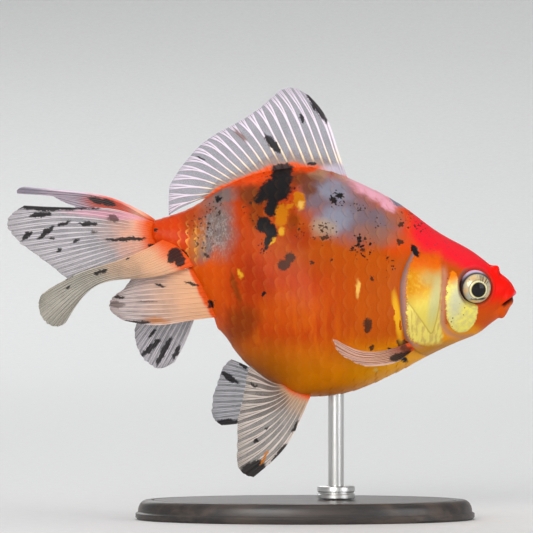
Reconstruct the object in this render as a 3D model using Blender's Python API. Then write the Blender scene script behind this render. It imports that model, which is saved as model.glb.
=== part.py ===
"""A calico fantail goldfish as a still, life-size museum model on a low display stand.

The fish heads along +X with its back up, so its right side faces -Y. Its shape is written the way fish are
measured, in hundredths of the standard length: so far behind the snout tip, so far to the fish's left, and so
far above the snout tip. The body is one swept form, parted by thin cuts into head, jaw, gill covers, trunk and
tail root. Each fin is a thin blade laid through a few of its rays. Run it in Blender 4.5.
"""

import math

import bmesh
import bpy
import numpy as np
from mathutils import Matrix, Vector

# Driving sizes, in metres.
STANDARD_LENGTH = 0.0904  # snout tip to tail root
PERCENT = STANDARD_LENGTH / 100
SNOUT_FORWARD = 0.0536  # the snout tip, ahead of the stand's middle
SNOUT_HEIGHT = 0.0572  # the snout tip, above the floor
JOINT_GAP = 0.0003  # left free between neighbouring pieces

# The body, in hundredths of the standard length. Each pair is (behind the snout, size there).
BACK_LINE = [
    (0, 0), (0.7, 2.1), (2.4, 4.2), (7.4, 8.4), (13.0, 12.6), (24.3, 19.2), (29.9, 23.5), (41.1, 30.0),
    (47.3, 32.7), (55.1, 34.9), (62.1, 35.4), (69.1, 34.5), (81.8, 30.0), (91.6, 24.3), (101.4, 20.8),
]  # fmt: skip
BELLY_LINE = [
    (0, 0), (0.7, -1.6), (1.8, -4.2), (3.5, -6.9), (5.6, -7.6), (10.2, -11.0), (15.8, -13.5), (29.9, -20.4),
    (41.1, -25.8), (48.1, -28.1), (55.1, -29.0), (60.7, -28.4), (66.3, -26.2), (75.6, -20.0), (84.0, -8.2),
    (91.6, 5.6), (101.4, 13.2),
]  # fmt: skip
HALF_WIDTH = [
    (0, 0), (0.7, 1.9), (2.4, 3.8), (6.0, 5.9), (12.0, 9.2), (18.0, 12.0), (26.0, 14.6), (36.0, 17.4),
    (48.0, 19.6), (58.0, 19.6), (68.0, 17.0), (78.0, 12.6), (88.0, 8.0), (101.4, 3.9),
]  # fmt: skip
WIDEST_HEIGHT = [(0, 0), (12.0, -0.5), (26.0, -3.0), (50.0, -6.5), (66.0, -2.0), (84.0, 9.0), (101.4, 17.0)]
BACK_FULLNESS = [(0, 2.1), (20.0, 2.0), (50.0, 1.75), (80.0, 1.85), (101.4, 2.0)]  # 2 is a half ellipse
BELLY_FULLNESS = [(0, 2.1), (20.0, 1.9), (50.0, 2.15), (80.0, 1.95), (101.4, 2.0)]
TAIL_ROOT_END = 103.0
BODY_RINGS = 40
BODY_SIDES = 24

# Where the body is parted, from above the back to below the belly: (behind, height).
GILL_LINE = [
    (23.0, 30.0), (25.6, 18.0), (28.0, 13.0), (30.4, 8.5), (32.0, 2.5), (32.5, -4.0), (31.4, -10.5),
    (29.0, -15.0), (26.0, -19.5), (23.0, -30.0),
]  # fmt: skip
TAIL_LINE = [(86.0, 40.0), (87.5, 24.0), (88.6, 15.0), (90.5, 8.0), (94.5, 2.0), (99.0, -12.0)]
MOUTH_CORNER = (3.9, -3.4)
MOUTH_FRONT = (-2.0, -0.5)
CHIN_END = (8.6, -14.0)
GILL_COVER = [
    (20.4, 8.6), (24.2, 11.6), (27.4, 11.6), (29.7, 8.2), (31.3, 2.4), (31.8, -4.0), (30.8, -9.8), (28.2, -13.0),
    (24.6, -13.6), (21.2, -11.0), (19.9, -6.0), (20.3, 1.0),
]  # fmt: skip
GILL_COVER_CORNERS = 24
GILL_COVER_THICKNESS = 0.0017

EYE_PLACE = (11.9, 7.8, 1.7)  # (behind, out to the side, height)
EYE_RADIUS = 0.0041
EYE_DEPTH = 0.0031
EYE_TURNED_FORWARD = math.radians(12)
NOSTRIL_PLACE = (6.4, 2.7, 5.4)
NOSTRIL_SIZE = (0.0011, 0.0007, 0.0027)

# The fins. Each is a list of rays from its leading edge to its trailing edge, and a ray is a few points from
# its root to its tip: (behind, to the fish's left, above the snout).
DORSAL_FIN = [
    [(47.4, 0, 32.5), (50.1, 0, 40.4), (53.4, 0.3, 49.6), (59.0, 0.9, 56.4)],
    [(51.5, 0, 34.5), (54.6, 0, 42.6), (57.6, 0.6, 50.2), (62.4, 1.4, 58.1)],
    [(55.7, 0, 35.1), (59.0, 0.2, 43.8), (62.4, 0.9, 51.6), (66.3, 1.9, 57.1)],
    [(62.7, 0, 35.9), (66.6, 0.3, 44.0), (69.7, 1.0, 50.2), (71.4, 1.8, 52.7)],
    [(69.7, 0, 34.8), (73.9, 0.2, 41.0), (77.6, 0.5, 45.4), (79.5, 0.9, 47.4)],
    [(76.2, 0, 32.5), (81.2, 0, 36.7), (85.7, -0.4, 40.4), (88.8, -0.6, 41.5)],
    [(82.6, 0, 30.0), (87.4, -0.3, 31.7), (91.9, -0.9, 32.5), (96.1, -1.4, 32.5)],
    [(85.1, 0, 28.6), (89.6, -0.4, 28.3), (93.8, -1.0, 28.3), (97.6, -1.6, 28.1)],
    [(87.9, 0, 26.9), (91.6, -0.3, 25.2), (95.0, -0.8, 23.6), (97.8, -1.4, 21.7)],
]
TAIL_UPPER_RIGHT = [
    [(102.8, -1.2, 20.2), (112.6, -4, 23.6), (125.2, -7, 24.1), (139.3, -10, 24.7)],
    [(103.1, -1.5, 18.5), (114.0, -5, 20.8), (128.1, -9, 21.9), (142.2, -13, 20.2)],
    [(103.1, -1.8, 16.8), (114.0, -6, 17.4), (127.5, -11, 16.8), (139.8, -15, 15.4)],
    [(102.8, -2.0, 15.1), (113.5, -6.5, 14.3), (124.7, -12, 12.1), (133.1, -16, 10.1)],
    [(102.5, -2.2, 13.7), (111.8, -6.5, 11.8), (121.3, -11.5, 8.7), (128.1, -15.5, 6.5)],
    [(101.9, -2.4, 12.6), (109.8, -6, 10.7), (116.8, -10, 8.1), (122.4, -14, 5.8)],
]
TAIL_UPPER_LEFT = [
    [(102.2, 1.2, 21.0), (113.9, 6, 26.8), (126.7, 12, 28.9), (141.6, 17, 30.2)],
    [(102.5, 1.5, 19.9), (113.2, 9, 25.3), (125.2, 17, 27.6), (140.8, 23, 28.8)],
    [(102.5, 1.8, 18.5), (112.4, 11, 23.8), (123.4, 20, 26.4), (136.0, 28, 29.0)],
    [(102.5, 2.0, 17.1), (110.7, 12, 21.6), (118.8, 22, 23.6), (126.9, 31, 25.8)],
    [(102.5, 2.2, 15.4), (109.0, 12, 19.1), (115.1, 22, 21.0), (120.8, 32, 23.3)],
    [(102.2, 2.4, 13.7), (107.3, 11, 16.3), (111.8, 20, 18.0), (115.7, 29, 19.4)],
]
TAIL_LOWER_RIGHT = [
    [(99.8, -3.8, 14.0), (110.7, -10.4, 9.4), (121.0, -14.5, 6.2), (131.4, -17, 0.8)],
    [(97.5, -4.9, 12.8), (109.0, -11.6, 7.9), (120.8, -16, 4.2), (133.2, -19, -2.8)],
    [(95.6, -5.5, 11.1), (107.3, -12.2, 6.5), (119.1, -16.6, 3.1), (131.7, -19.5, -7.3)],
    [(93.8, -5.7, 9.1), (105.6, -12, 5.3), (117.7, -16.2, 2.2), (128.6, -18.6, -9.1)],
    [(92.3, -5.2, 7.3), (104.2, -11, 4.4), (117.4, -15, 2.5), (126.4, -17.2, -9.0)],
]
TAIL_LOWER_LEFT = [
    [(99.8, 3.6, 14.4), (107.0, 10, 10.9), (114.6, 16, 8.4), (123.0, 21, 6.5)],
    [(97.8, 4.6, 13.2), (105.1, 12, 9.8), (112.6, 19, 7.6), (121.3, 27, 5.6)],
    [(95.9, 5.3, 11.8), (102.8, 13, 9.0), (109.8, 22, 6.7), (118.0, 31, 4.8)],
    [(94.2, 5.7, 10.1), (100.6, 13, 8.1), (106.7, 22, 6.5), (113.5, 31, 4.8)],
    [(92.6, 5.4, 8.1), (98.0, 12, 7.3), (103.4, 19, 6.5), (108.4, 27, 5.6)],
]
ANAL_FIN_RIGHT = [
    [(84.9, -2.4, -6.5), (93.0, -4, -7.7), (101.4, -6, -8.7), (110.9, -7.5, -7.0)],
    [(86.0, -3.0, -4.2), (95.0, -5, -4.8), (104.2, -7, -5.0), (113.5, -9, -4.8)],
    [(87.7, -3.4, -1.4), (96.4, -5.5, -2.0), (105.1, -7.5, -2.2), (114.0, -9.5, -2.5)],
    [(89.1, -3.8, 1.4), (97.2, -5.5, 1.1), (105.1, -7.5, 0.6), (112.6, -9, -0.6)],
    [(90.2, -4.0, 3.9), (97.2, -5.5, 4.2), (103.9, -7, 3.6), (110.1, -8, 1.4)],
    [(91.6, -3.8, 6.2), (97.2, -5, 6.4), (102.8, -6, 5.9), (107.9, -6.5, 4.2)],
]
ANAL_FIN_LEFT = [
    [(87.1, 2.6, -2.2), (90.2, 5, -6.5), (92.7, 8, -12.6), (96.9, 10.5, -20.5)],
    [(87.9, 3.0, -0.6), (91.9, 6, -5.9), (95.5, 9.5, -12.9), (100.0, 12.5, -21.3)],
    [(88.8, 3.3, 1.1), (93.8, 6.5, -4.2), (98.6, 10, -11.2), (103.6, 13.5, -20.2)],
    [(89.6, 3.6, 2.8), (95.5, 7, -2.2), (101.1, 10.5, -8.7), (106.3, 14, -16.3)],
    [(90.5, 3.8, 4.5), (96.6, 6.5, -0.3), (102.2, 10, -5.3), (107.6, 13, -11.5)],
    [(91.3, 3.7, 5.9), (97.2, 6, 1.7), (102.5, 9, -2.5), (106.7, 11.5, -7.9)],
]
PELVIC_FIN_RIGHT = [
    [(57.9, -4.5, -28.6), (61.3, -8, -36.5), (66.1, -11, -44.0), (75.0, -13, -51.8)],
    [(59.3, -4.8, -28.2), (64.1, -9, -36.5), (70.3, -12.5, -43.5), (77.8, -14.5, -48.5)],
    [(60.7, -5.1, -27.7), (66.1, -10, -34.5), (71.9, -13.5, -39.3), (78.4, -16, -42.6)],
    [(62.1, -5.3, -27.2), (67.2, -10.5, -31.4), (72.5, -14, -33.9), (78.1, -17, -35.9)],
    [(63.5, -5.4, -26.7), (67.8, -10.3, -28.6), (71.9, -14, -29.2), (76.7, -17, -29.2)],
    [(64.8, -5.4, -26.2), (68.3, -9.8, -26.0), (71.9, -13.2, -24.8), (75.9, -16, -23.6)],
    [(66.0, -5.3, -25.8), (68.9, -8.6, -24.4), (71.8, -11.4, -22.2), (74.8, -14, -19.5)],
]
PELVIC_FIN_LEFT = [
    [(59.6, 4.8, -28.4), (67.5, 9, -33.4), (75.9, 13, -36.5), (83.7, 17, -37.6)],
    [(61.0, 5.0, -28.0), (68.9, 10, -31.4), (77.3, 14.5, -33.4), (85.7, 19, -34.5)],
    [(62.4, 5.2, -27.5), (69.7, 10.5, -29.0), (77.6, 15, -29.7), (85.4, 19.5, -30.0)],
    [(63.8, 5.4, -27.0), (70.0, 10.2, -26.9), (77.3, 15, -26.0), (84.3, 19.5, -25.8)],
    [(65.2, 5.5, -26.5), (70.6, 9.6, -24.9), (76.7, 14.2, -22.8), (82.9, 18.5, -21.9)],
    [(66.5, 5.5, -26.0), (70.9, 8.7, -23.6), (75.5, 12.4, -20.6), (80.6, 16.5, -18.5)],
]
PECTORAL_FIN = [
    [(29.9, 12.2, -15.8), (34.0, 19.5, -18.6), (39.5, 27.5, -19.4), (43.2, 32.5, -19.3)],
    [(30.2, 12.5, -15.3), (35.2, 19.6, -17.9), (41.8, 26.8, -18.8), (47.0, 31.5, -18.2)],
    [(30.4, 12.8, -14.8), (36.4, 19.3, -17.1), (43.8, 25.4, -17.9), (50.2, 29.0, -15.6)],
    [(30.7, 13.1, -14.2), (37.2, 18.4, -16.3), (44.7, 23.0, -16.5), (51.9, 25.4, -12.6)],
    [(31.0, 13.3, -13.6), (36.9, 17.3, -15.6), (43.6, 20.3, -15.6), (49.2, 22.0, -13.4)],
]
FIN_ACROSS = 9  # divisions from leading edge to trailing edge
FIN_ALONG = 7  # divisions from root to tip
FIN_ROOT_THICKNESS = 0.0010
FIN_TIP_THICKNESS = 0.00055

# The stand.
BASE_LENGTH = 0.086
BASE_WIDTH = 0.052
BASE_THICKNESS = 0.0050
BASE_EDGE = 0.0008
BASE_MIDDLE = (0.0, 0.0)
BASE_SIDES = 44
ROD_BEHIND = 50.6
ROD_RADIUS = 0.0020
ROD_SUNK_IN_BELLY = 0.0070
COLLAR_RADIUS = 0.0048
COLLAR_HEIGHT = 0.0032
ROD_SIDES = 16
CUTTER_REACH = 0.080  # how far a cutting solid stands out either side of the fish


def natural_spline(knots, values):
    """A smooth function through the values at the knots, straight beyond its ends."""
    knots = np.asarray(knots, float)
    values = np.asarray(values, float)
    gaps = np.diff(knots).reshape(-1, *[1] * (values.ndim - 1))
    slopes = np.diff(values, axis=0) / gaps
    bend = np.zeros_like(values)
    if len(knots) > 2:
        flat_gaps = gaps.reshape(-1)
        system = np.diag(2 * (flat_gaps[:-1] + flat_gaps[1:]))
        system += np.diag(flat_gaps[1:-1], 1) + np.diag(flat_gaps[1:-1], -1)
        right_side = 6 * np.diff(slopes, axis=0)
        solved = np.linalg.solve(system, right_side.reshape(len(system), -1))
        bend[1:-1] = solved.reshape(right_side.shape)

    def at(places):
        places = np.atleast_1d(np.asarray(places, float))
        span = np.clip(np.searchsorted(knots, places, side="right") - 1, 0, len(knots) - 2)
        shape = (-1, *[1] * (values.ndim - 1))
        inside = np.clip(places, knots[0], knots[-1])
        beyond = (places - inside).reshape(shape)
        step = (inside - knots[span]).reshape(shape)
        gap = gaps[span]
        low, high = bend[span], bend[span + 1]
        slope = slopes[span] - gap * (2 * low + high) / 6
        cubic = (high - low) / (6 * gap)
        slope_here = slope + low * step + 3 * cubic * step**2
        return values[span] + slope * step + low / 2 * step**2 + cubic * step**3 + slope_here * beyond

    return at


def along_body(pairs):
    """A size as a function of the distance behind the snout. It follows the distance's square root, so that
    the snout comes out blunt."""
    places, sizes = zip(*pairs)
    smooth = natural_spline(np.sqrt(places), sizes)
    return lambda behind: float(smooth(math.sqrt(max(behind, 0.0)))[0])


back_line = along_body(BACK_LINE)
belly_line = along_body(BELLY_LINE)
half_width = along_body(HALF_WIDTH)
widest_height = along_body(WIDEST_HEIGHT)
back_fullness = along_body(BACK_FULLNESS)
belly_fullness = along_body(BELLY_FULLNESS)


def place(behind, left, above):
    """A point of the fish in metres, from hundredths of the standard length."""
    return Vector((SNOUT_FORWARD - behind * PERCENT, left * PERCENT, SNOUT_HEIGHT + above * PERCENT))


def power(value, exponent):
    return math.copysign(abs(value) ** exponent, value)


def body_section(behind, shrink=1.0):
    """One ring of the body. shrink draws it in towards its middle, to round off the end of the tail root."""
    top, bottom = back_line(behind), belly_line(behind)
    wide_at = widest_height(behind)
    reach = half_width(behind)
    middle = (top + bottom) / 2
    ring = []
    for i in range(BODY_SIDES):
        angle = 2 * math.pi * i / BODY_SIDES
        upper = math.sin(angle) >= 0
        fullness = back_fullness(behind) if upper else belly_fullness(behind)
        height = (top - wide_at) if upper else (wide_at - bottom)
        left = reach * power(math.cos(angle), 2 / fullness)
        above = wide_at + height * power(math.sin(angle), 2 / fullness)
        ring.append(place(behind, left * shrink, middle + (above - middle) * shrink))
    return ring


def mesh_object(name, points, faces, material=None):
    mesh = bpy.data.meshes.new(name)
    mesh.from_pydata([tuple(p) for p in points], [], faces)
    shaped = bmesh.new()
    shaped.from_mesh(mesh)
    bmesh.ops.recalc_face_normals(shaped, faces=shaped.faces)
    if shaped.calc_volume(signed=True) < 0:
        bmesh.ops.reverse_faces(shaped, faces=shaped.faces)
    shaped.to_mesh(mesh)
    shaped.free()
    obj = bpy.data.objects.new(name, mesh)
    bpy.context.scene.collection.objects.link(obj)
    if material:
        mesh.materials.append(material)
        mesh.shade_smooth()
        mesh.set_sharp_from_angle(angle=math.radians(40))
    return obj


def body_form(name, material=None, offset=0.0):
    """The whole body from snout to tail root as one closed form. offset moves its surface outwards, in metres,
    or inwards if it is negative, and by less at the snout, where there is no room to move inwards."""
    end = math.sqrt(BACK_LINE[-1][0])
    stations = [(end * (i + 1) / BODY_RINGS) ** 2 for i in range(BODY_RINGS)]
    rings = [body_section(behind) for behind in stations]
    last = stations[-1]
    for step, shrink in ((0.45, 0.9), (0.85, 0.62)):
        rings.append(body_section(last + (TAIL_ROOT_END - last) * step, shrink))
    points = [p for ring in rings for p in ring]
    snout, tail = len(points), len(points) + 1
    tail_height = (back_line(TAIL_ROOT_END) + belly_line(TAIL_ROOT_END)) / 2
    points += [place(0, 0, 0), place(TAIL_ROOT_END, 0, tail_height)]
    faces = []
    for r in range(len(rings) - 1):
        for i in range(BODY_SIDES):
            a, b = r * BODY_SIDES + i, r * BODY_SIDES + (i + 1) % BODY_SIDES
            faces.append((a, b, b + BODY_SIDES, a + BODY_SIDES))
    last_ring = (len(rings) - 1) * BODY_SIDES
    for i in range(BODY_SIDES):
        following = (i + 1) % BODY_SIDES
        faces.append((i, snout, following))
        faces.append((last_ring + i, last_ring + following, tail))
    form = mesh_object(name, points, faces, material)
    if offset:
        normals = [v.normal.copy() for v in form.data.vertices]
        for vertex, normal in zip(form.data.vertices, normals):
            room = 1.0 if offset > 0 else min((SNOUT_FORWARD - vertex.co.x) / (12 * PERCENT), 1.0)
            vertex.co += normal * offset * room
    return form


def as_cutter(obj):
    obj.hide_render = True
    obj.display_type = "WIRE"
    return obj


def profile_prism(name, outline, sides=(-CUTTER_REACH, CUTTER_REACH)):
    """A cutting solid: an outline seen from the side, drawn out across the fish."""
    points = []
    for side in sides:
        for behind, above in outline:
            at = place(behind, 0, above)
            points.append((at.x, side, at.z))
    count = len(outline)
    faces = [tuple(range(count)), tuple(range(2 * count - 1, count - 1, -1))]
    for i in range(count):
        following = (i + 1) % count
        faces.append((i, following, following + count, i + count))
    return as_cutter(mesh_object(name, points, faces))


def smooth_outline(corners, count, closed=False):
    """Points evenly along a smooth curve through the corners."""
    rows = np.array([*corners, *corners[:3]] if closed else corners, float)
    if closed:
        rows = np.vstack([rows[-5:-3], rows])
    curve = natural_spline(range(len(rows)), rows)
    start, stop = (2, len(rows) - 3) if closed else (0, len(rows) - 1)
    return [tuple(p) for p in curve(np.linspace(start, stop, count, endpoint=not closed))]


def shifted(outline, behind):
    return [(b + behind, h) for b, h in outline]


def grown_outline(outline, by):
    """A closed outline moved outwards from its middle by a distance in hundredths."""
    middle = np.mean(outline, axis=0)
    grown = []
    for point in outline:
        away = np.array(point) - middle
        grown.append(tuple(np.array(point) + away / np.linalg.norm(away) * by))
    return grown


def boolean(obj, cutter, operation="DIFFERENCE"):
    modifier = obj.modifiers.new(f"{operation.lower()} {cutter.name}", "BOOLEAN")
    modifier.object = cutter
    modifier.operation = operation
    modifier.solver = "EXACT"


def placed_ellipsoid(name, radii, centre, turn, material=None, segments=18, rings=9):
    """An ellipsoid whose own Z is turned by the matrix turn and whose middle is at centre."""
    form = bmesh.new()
    bmesh.ops.create_uvsphere(form, u_segments=segments, v_segments=rings, radius=1.0)
    bmesh.ops.transform(form, matrix=Matrix.Diagonal((*radii, 1)), verts=form.verts)
    mesh = bpy.data.meshes.new(name)
    form.to_mesh(mesh)
    form.free()
    obj = bpy.data.objects.new(name, mesh)
    obj.location = centre
    obj.rotation_euler = turn.to_euler()
    bpy.context.scene.collection.objects.link(obj)
    if material:
        mesh.materials.append(material)
        mesh.shade_smooth()
    return obj


def eye_turn(side):
    """Turns the eye's own Z out to one side of the head and a little forward. side is 1 for the left."""
    outward = Vector((math.sin(EYE_TURNED_FORWARD), side * math.cos(EYE_TURNED_FORWARD), 0))
    return outward.to_track_quat("Z", "Y")


def eye(name, side, material):
    behind, out, above = EYE_PLACE
    radii = (EYE_RADIUS, EYE_RADIUS, EYE_DEPTH)
    return placed_ellipsoid(name, radii, place(behind, side * out, above), eye_turn(side), material)


def eye_socket(side):
    behind, out, above = EYE_PLACE
    radii = tuple(r + JOINT_GAP for r in (EYE_RADIUS, EYE_RADIUS, EYE_DEPTH))
    centre = place(behind, side * out, above)
    return as_cutter(placed_ellipsoid(f"socket {side}", radii, centre, eye_turn(side)))


def nostril_flap(name, side, material, clearance):
    behind, out, above = NOSTRIL_PLACE
    lean = Matrix.Rotation(math.radians(-28), 4, "Y") @ Matrix.Rotation(math.radians(-24 * side), 4, "X")
    centre = place(behind, side * out, above)
    flap = placed_ellipsoid(name, NOSTRIL_SIZE, centre, lean, material, 16, 10)
    boolean(flap, clearance)
    return flap


def gill_pocket(inner):
    """Where both gill covers lie, with the gap round them: the outline's prism less the head inside it."""
    outline = smooth_outline(GILL_COVER, GILL_COVER_CORNERS, closed=True)
    pocket = profile_prism("gill pocket", grown_outline(outline, JOINT_GAP / PERCENT))
    boolean(pocket, inner)
    return pocket


def gill_cover(name, side, material, inner):
    outline = smooth_outline(GILL_COVER, GILL_COVER_CORNERS, closed=True)
    sides = (-CUTTER_REACH, -JOINT_GAP) if side < 0 else (JOINT_GAP, CUTTER_REACH)
    prism = profile_prism(f"gill outline {side}", outline, sides)
    cover = body_form(name, material)
    boolean(cover, prism, "INTERSECT")
    boolean(cover, inner)
    return cover


def fin(name, rays, material, trimmed_by, sunk, mirrored=False):
    """A thin closed blade through the rays, thicker at its root, trimmed clear of the body. sunk is the share
    of each ray added at its root, inside the body, before the trimming."""
    net = np.array(rays, float)
    if mirrored:
        net[:, :, 1] *= -1
    across = np.linspace(0, 1, FIN_ACROSS + 1)
    along = np.linspace(-sunk, 1, FIN_ALONG + 1)
    sheet = natural_spline(np.linspace(0, 1, len(net)), net)(across)
    sheet = natural_spline(np.linspace(0, 1, net.shape[1]), sheet.transpose(1, 0, 2))(along)
    sheet = np.array([[place(*p) for p in row] for row in sheet])
    normals = np.cross(np.gradient(sheet, axis=0), np.gradient(sheet, axis=1))
    normals /= np.linalg.norm(normals, axis=2, keepdims=True)
    share = np.clip(along, 0, 1)[:, None, None]
    half = (FIN_ROOT_THICKNESS + (FIN_TIP_THICKNESS - FIN_ROOT_THICKNESS) * share) / 2
    points = np.vstack([(sheet + normals * half).reshape(-1, 3), (sheet - normals * half).reshape(-1, 3)])
    rows, columns = len(along), len(across)
    other = rows * columns
    faces = []
    for r in range(rows - 1):
        for c in range(columns - 1):
            a = r * columns + c
            quad = (a, a + 1, a + columns + 1, a + columns)
            faces += [quad, tuple(i + other for i in reversed(quad))]
    rim = [*range(columns)]
    rim += [r * columns + columns - 1 for r in range(1, rows)]
    rim += [(rows - 1) * columns + c for c in range(columns - 2, -1, -1)]
    rim += [r * columns for r in range(rows - 2, 0, -1)]
    for a, b in zip(rim, rim[1:] + rim[:1]):
        faces.append((a, b, b + other, a + other))
    blade = mesh_object(name, points, faces, material)
    boolean(blade, trimmed_by)
    return blade


def finish(name, colour, roughness, metallic=0.0):
    material = bpy.data.materials.new(name)
    material.use_nodes = True
    shader = material.node_tree.nodes["Principled BSDF"]
    shader.inputs["Base Color"].default_value = (*colour, 1)
    shader.inputs["Roughness"].default_value = roughness
    shader.inputs["Metallic"].default_value = metallic
    return material


def turned(name, radius, low, high, sides, material=None, edge=0.0, middle=(0.0, 0.0), stretch=(1.0, 1.0)):
    """An upright round or oval disc or rod, with its edges chamfered."""
    form = bmesh.new()
    bmesh.ops.create_cone(
        form, cap_ends=True, segments=sides, radius1=radius, radius2=radius, depth=high - low
    )
    bmesh.ops.transform(form, matrix=Matrix.Diagonal((*stretch, 1, 1)), verts=form.verts)
    if edge:
        rims = [e for e in form.edges if abs(e.verts[0].co.z - e.verts[1].co.z) < 1e-6]
        bmesh.ops.bevel(form, geom=rims, offset=edge, segments=1, affect="EDGES")
    mesh = bpy.data.meshes.new(name)
    form.to_mesh(mesh)
    form.free()
    obj = bpy.data.objects.new(name, mesh)
    obj.location = (*middle, (low + high) / 2)
    bpy.context.scene.collection.objects.link(obj)
    if material:
        mesh.materials.append(material)
        mesh.shade_smooth()
        mesh.set_sharp_from_angle(angle=math.radians(30))
    return obj


def body_pieces(flesh, bone):
    """Head, jaw, gill covers, trunk and tail root, parted from one form, with the holes that they need."""
    gap = JOINT_GAP / PERCENT
    gill_line = smooth_outline(GILL_LINE, 22)
    tail_line = smooth_outline(TAIL_LINE, 12)
    ahead = [(-20, GILL_LINE[-1][1]), (-20, GILL_LINE[0][1])]
    aft = [(130, TAIL_LINE[-1][1]), (130, TAIL_LINE[0][1])]
    head_side = profile_prism("head side", gill_line + ahead)
    trunk_outline = shifted(gill_line, gap)
    trunk_outline += [(60, -50), *reversed(shifted(tail_line, -gap / 2)), (60, 60)]
    trunk_side = profile_prism("trunk side", trunk_outline)
    tail_side = profile_prism("tail side", shifted(tail_line, gap / 2) + aft)
    inner = as_cutter(body_form("inside the gill covers", offset=-GILL_COVER_THICKNESS))
    deeper = as_cutter(body_form("inside the gill pocket", offset=-GILL_COVER_THICKNESS - JOINT_GAP))

    jaw_outline = [MOUTH_FRONT, MOUTH_CORNER, CHIN_END, (-2.0, -14.0)]
    jaw_side = profile_prism("jaw side", jaw_outline)
    wider = [(MOUTH_FRONT[0], MOUTH_FRONT[1] + gap), (MOUTH_CORNER[0] + gap, MOUTH_CORNER[1] + gap)]
    wider += [(CHIN_END[0] + gap, CHIN_END[1]), (-2.0, -14.0)]
    jaw_space = profile_prism("jaw space", wider)

    head = body_form("head", flesh)
    boolean(head, head_side, "INTERSECT")
    boolean(head, jaw_space)
    boolean(head, gill_pocket(deeper))
    for side in (-1, 1):
        boolean(head, eye_socket(side))
    jaw = body_form("jaw_lower", flesh)
    boolean(jaw, jaw_side, "INTERSECT")
    gill_cover("gill_cover_right", -1, bone, inner)
    gill_cover("gill_cover_left", 1, bone, inner)

    trunk = body_form("trunk", flesh)
    boolean(trunk, trunk_side, "INTERSECT")
    boolean(trunk, rod_socket())
    tail_root = body_form("tail_root", flesh)
    boolean(tail_root, tail_side, "INTERSECT")


def rod_middle():
    return place(ROD_BEHIND, 0, 0).x, 0.0


def rod_top():
    return place(0, 0, belly_line(ROD_BEHIND)).z + ROD_SUNK_IN_BELLY


def rod_socket():
    """The hole in the belly that the rod stands in."""
    radius = ROD_RADIUS + JOINT_GAP
    socket = turned("rod socket", radius, 0, rod_top() + JOINT_GAP, ROD_SIDES, middle=rod_middle())
    return as_cutter(socket)


def stand(metal, stone):
    """A low oval base, and a rod with a collar at its foot."""
    stretch = (1.0, BASE_WIDTH / BASE_LENGTH)
    turned(
        "stand_base", BASE_LENGTH / 2, 0, BASE_THICKNESS, BASE_SIDES, stone, BASE_EDGE, BASE_MIDDLE, stretch
    )
    foot = BASE_THICKNESS + JOINT_GAP
    collar = turned(
        "stand_collar", COLLAR_RADIUS, foot, foot + COLLAR_HEIGHT, 24, metal, 0.0005, rod_middle()
    )
    bore = turned(
        "collar bore", ROD_RADIUS + JOINT_GAP, 0, foot + 2 * COLLAR_HEIGHT, ROD_SIDES, middle=rod_middle()
    )
    boolean(collar, as_cutter(bore))
    turned("stand_rod", ROD_RADIUS, foot, rod_top(), ROD_SIDES, metal, 0.0003, rod_middle())


def fins(blade):
    clearance = as_cutter(body_form("clear of the body", offset=JOINT_GAP))
    for name, rays, sunk in (
        ("dorsal_fin", DORSAL_FIN, 0.12),
        ("tail_upper_right", TAIL_UPPER_RIGHT, 0.03),
        ("tail_upper_left", TAIL_UPPER_LEFT, 0.03),
        ("tail_lower_right", TAIL_LOWER_RIGHT, 0.06),
        ("tail_lower_left", TAIL_LOWER_LEFT, 0.06),
        ("anal_fin_right", ANAL_FIN_RIGHT, 0.10),
        ("anal_fin_left", ANAL_FIN_LEFT, 0.10),
        ("pelvic_fin_right", PELVIC_FIN_RIGHT, 0.10),
        ("pelvic_fin_left", PELVIC_FIN_LEFT, 0.10),
    ):
        fin(name, rays, blade, clearance, sunk)
    fin("pectoral_fin_left", PECTORAL_FIN, blade, clearance, 0.12)
    fin("pectoral_fin_right", PECTORAL_FIN, blade, clearance, 0.12, mirrored=True)
    return clearance


def main():
    for obj in list(bpy.data.objects):
        bpy.data.objects.remove(obj)
    flesh = finish("orange skin", (0.82, 0.26, 0.03), 0.38)
    bone = finish("golden gill plate", (0.78, 0.60, 0.22), 0.32, 0.2)
    blade = finish("pale fin", (0.80, 0.74, 0.70), 0.45)
    glassy = finish("silver eye", (0.62, 0.60, 0.50), 0.12)
    metal = finish("brushed steel", (0.62, 0.62, 0.60), 0.30, 1.0)
    stone = finish("dark base", (0.05, 0.05, 0.055), 0.40)
    body_pieces(flesh, bone)
    eye("eye_right", -1, glassy)
    eye("eye_left", 1, glassy)
    clearance = fins(blade)
    nostril_flap("nostril_flap_right", -1, flesh, clearance)
    nostril_flap("nostril_flap_left", 1, flesh, clearance)
    stand(metal, stone)


main()
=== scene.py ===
"""Looks of the calico fantail goldfish: skin, scales, eyes, fins, display stand and studio.

The fish is described as in its source, in hundredths of the standard length: behind the snout tip, to the
fish's left, and above the snout tip. The body's tables are the source's own, so the skin lies just inside the
solids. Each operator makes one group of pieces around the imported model.
"""

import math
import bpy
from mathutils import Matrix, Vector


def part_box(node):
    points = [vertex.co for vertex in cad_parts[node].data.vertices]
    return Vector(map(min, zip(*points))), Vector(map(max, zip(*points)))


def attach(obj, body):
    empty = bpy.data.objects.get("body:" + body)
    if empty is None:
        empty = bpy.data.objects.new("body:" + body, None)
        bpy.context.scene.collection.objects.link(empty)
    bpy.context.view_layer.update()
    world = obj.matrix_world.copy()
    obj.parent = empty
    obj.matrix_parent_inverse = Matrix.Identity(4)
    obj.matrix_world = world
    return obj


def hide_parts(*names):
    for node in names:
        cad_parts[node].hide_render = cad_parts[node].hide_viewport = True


bl_info = {
    "name": "Calico fantail goldfish",
    "version": (1, 0, 0),
    "blender": (4, 5, 0),
    "location": "View3D > Sidebar > Goldfish",
    "description": "Dresses the packed goldfish with skin, scales, eyes, fins, a stand and a studio",
    "category": "Mesh",
}

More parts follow.
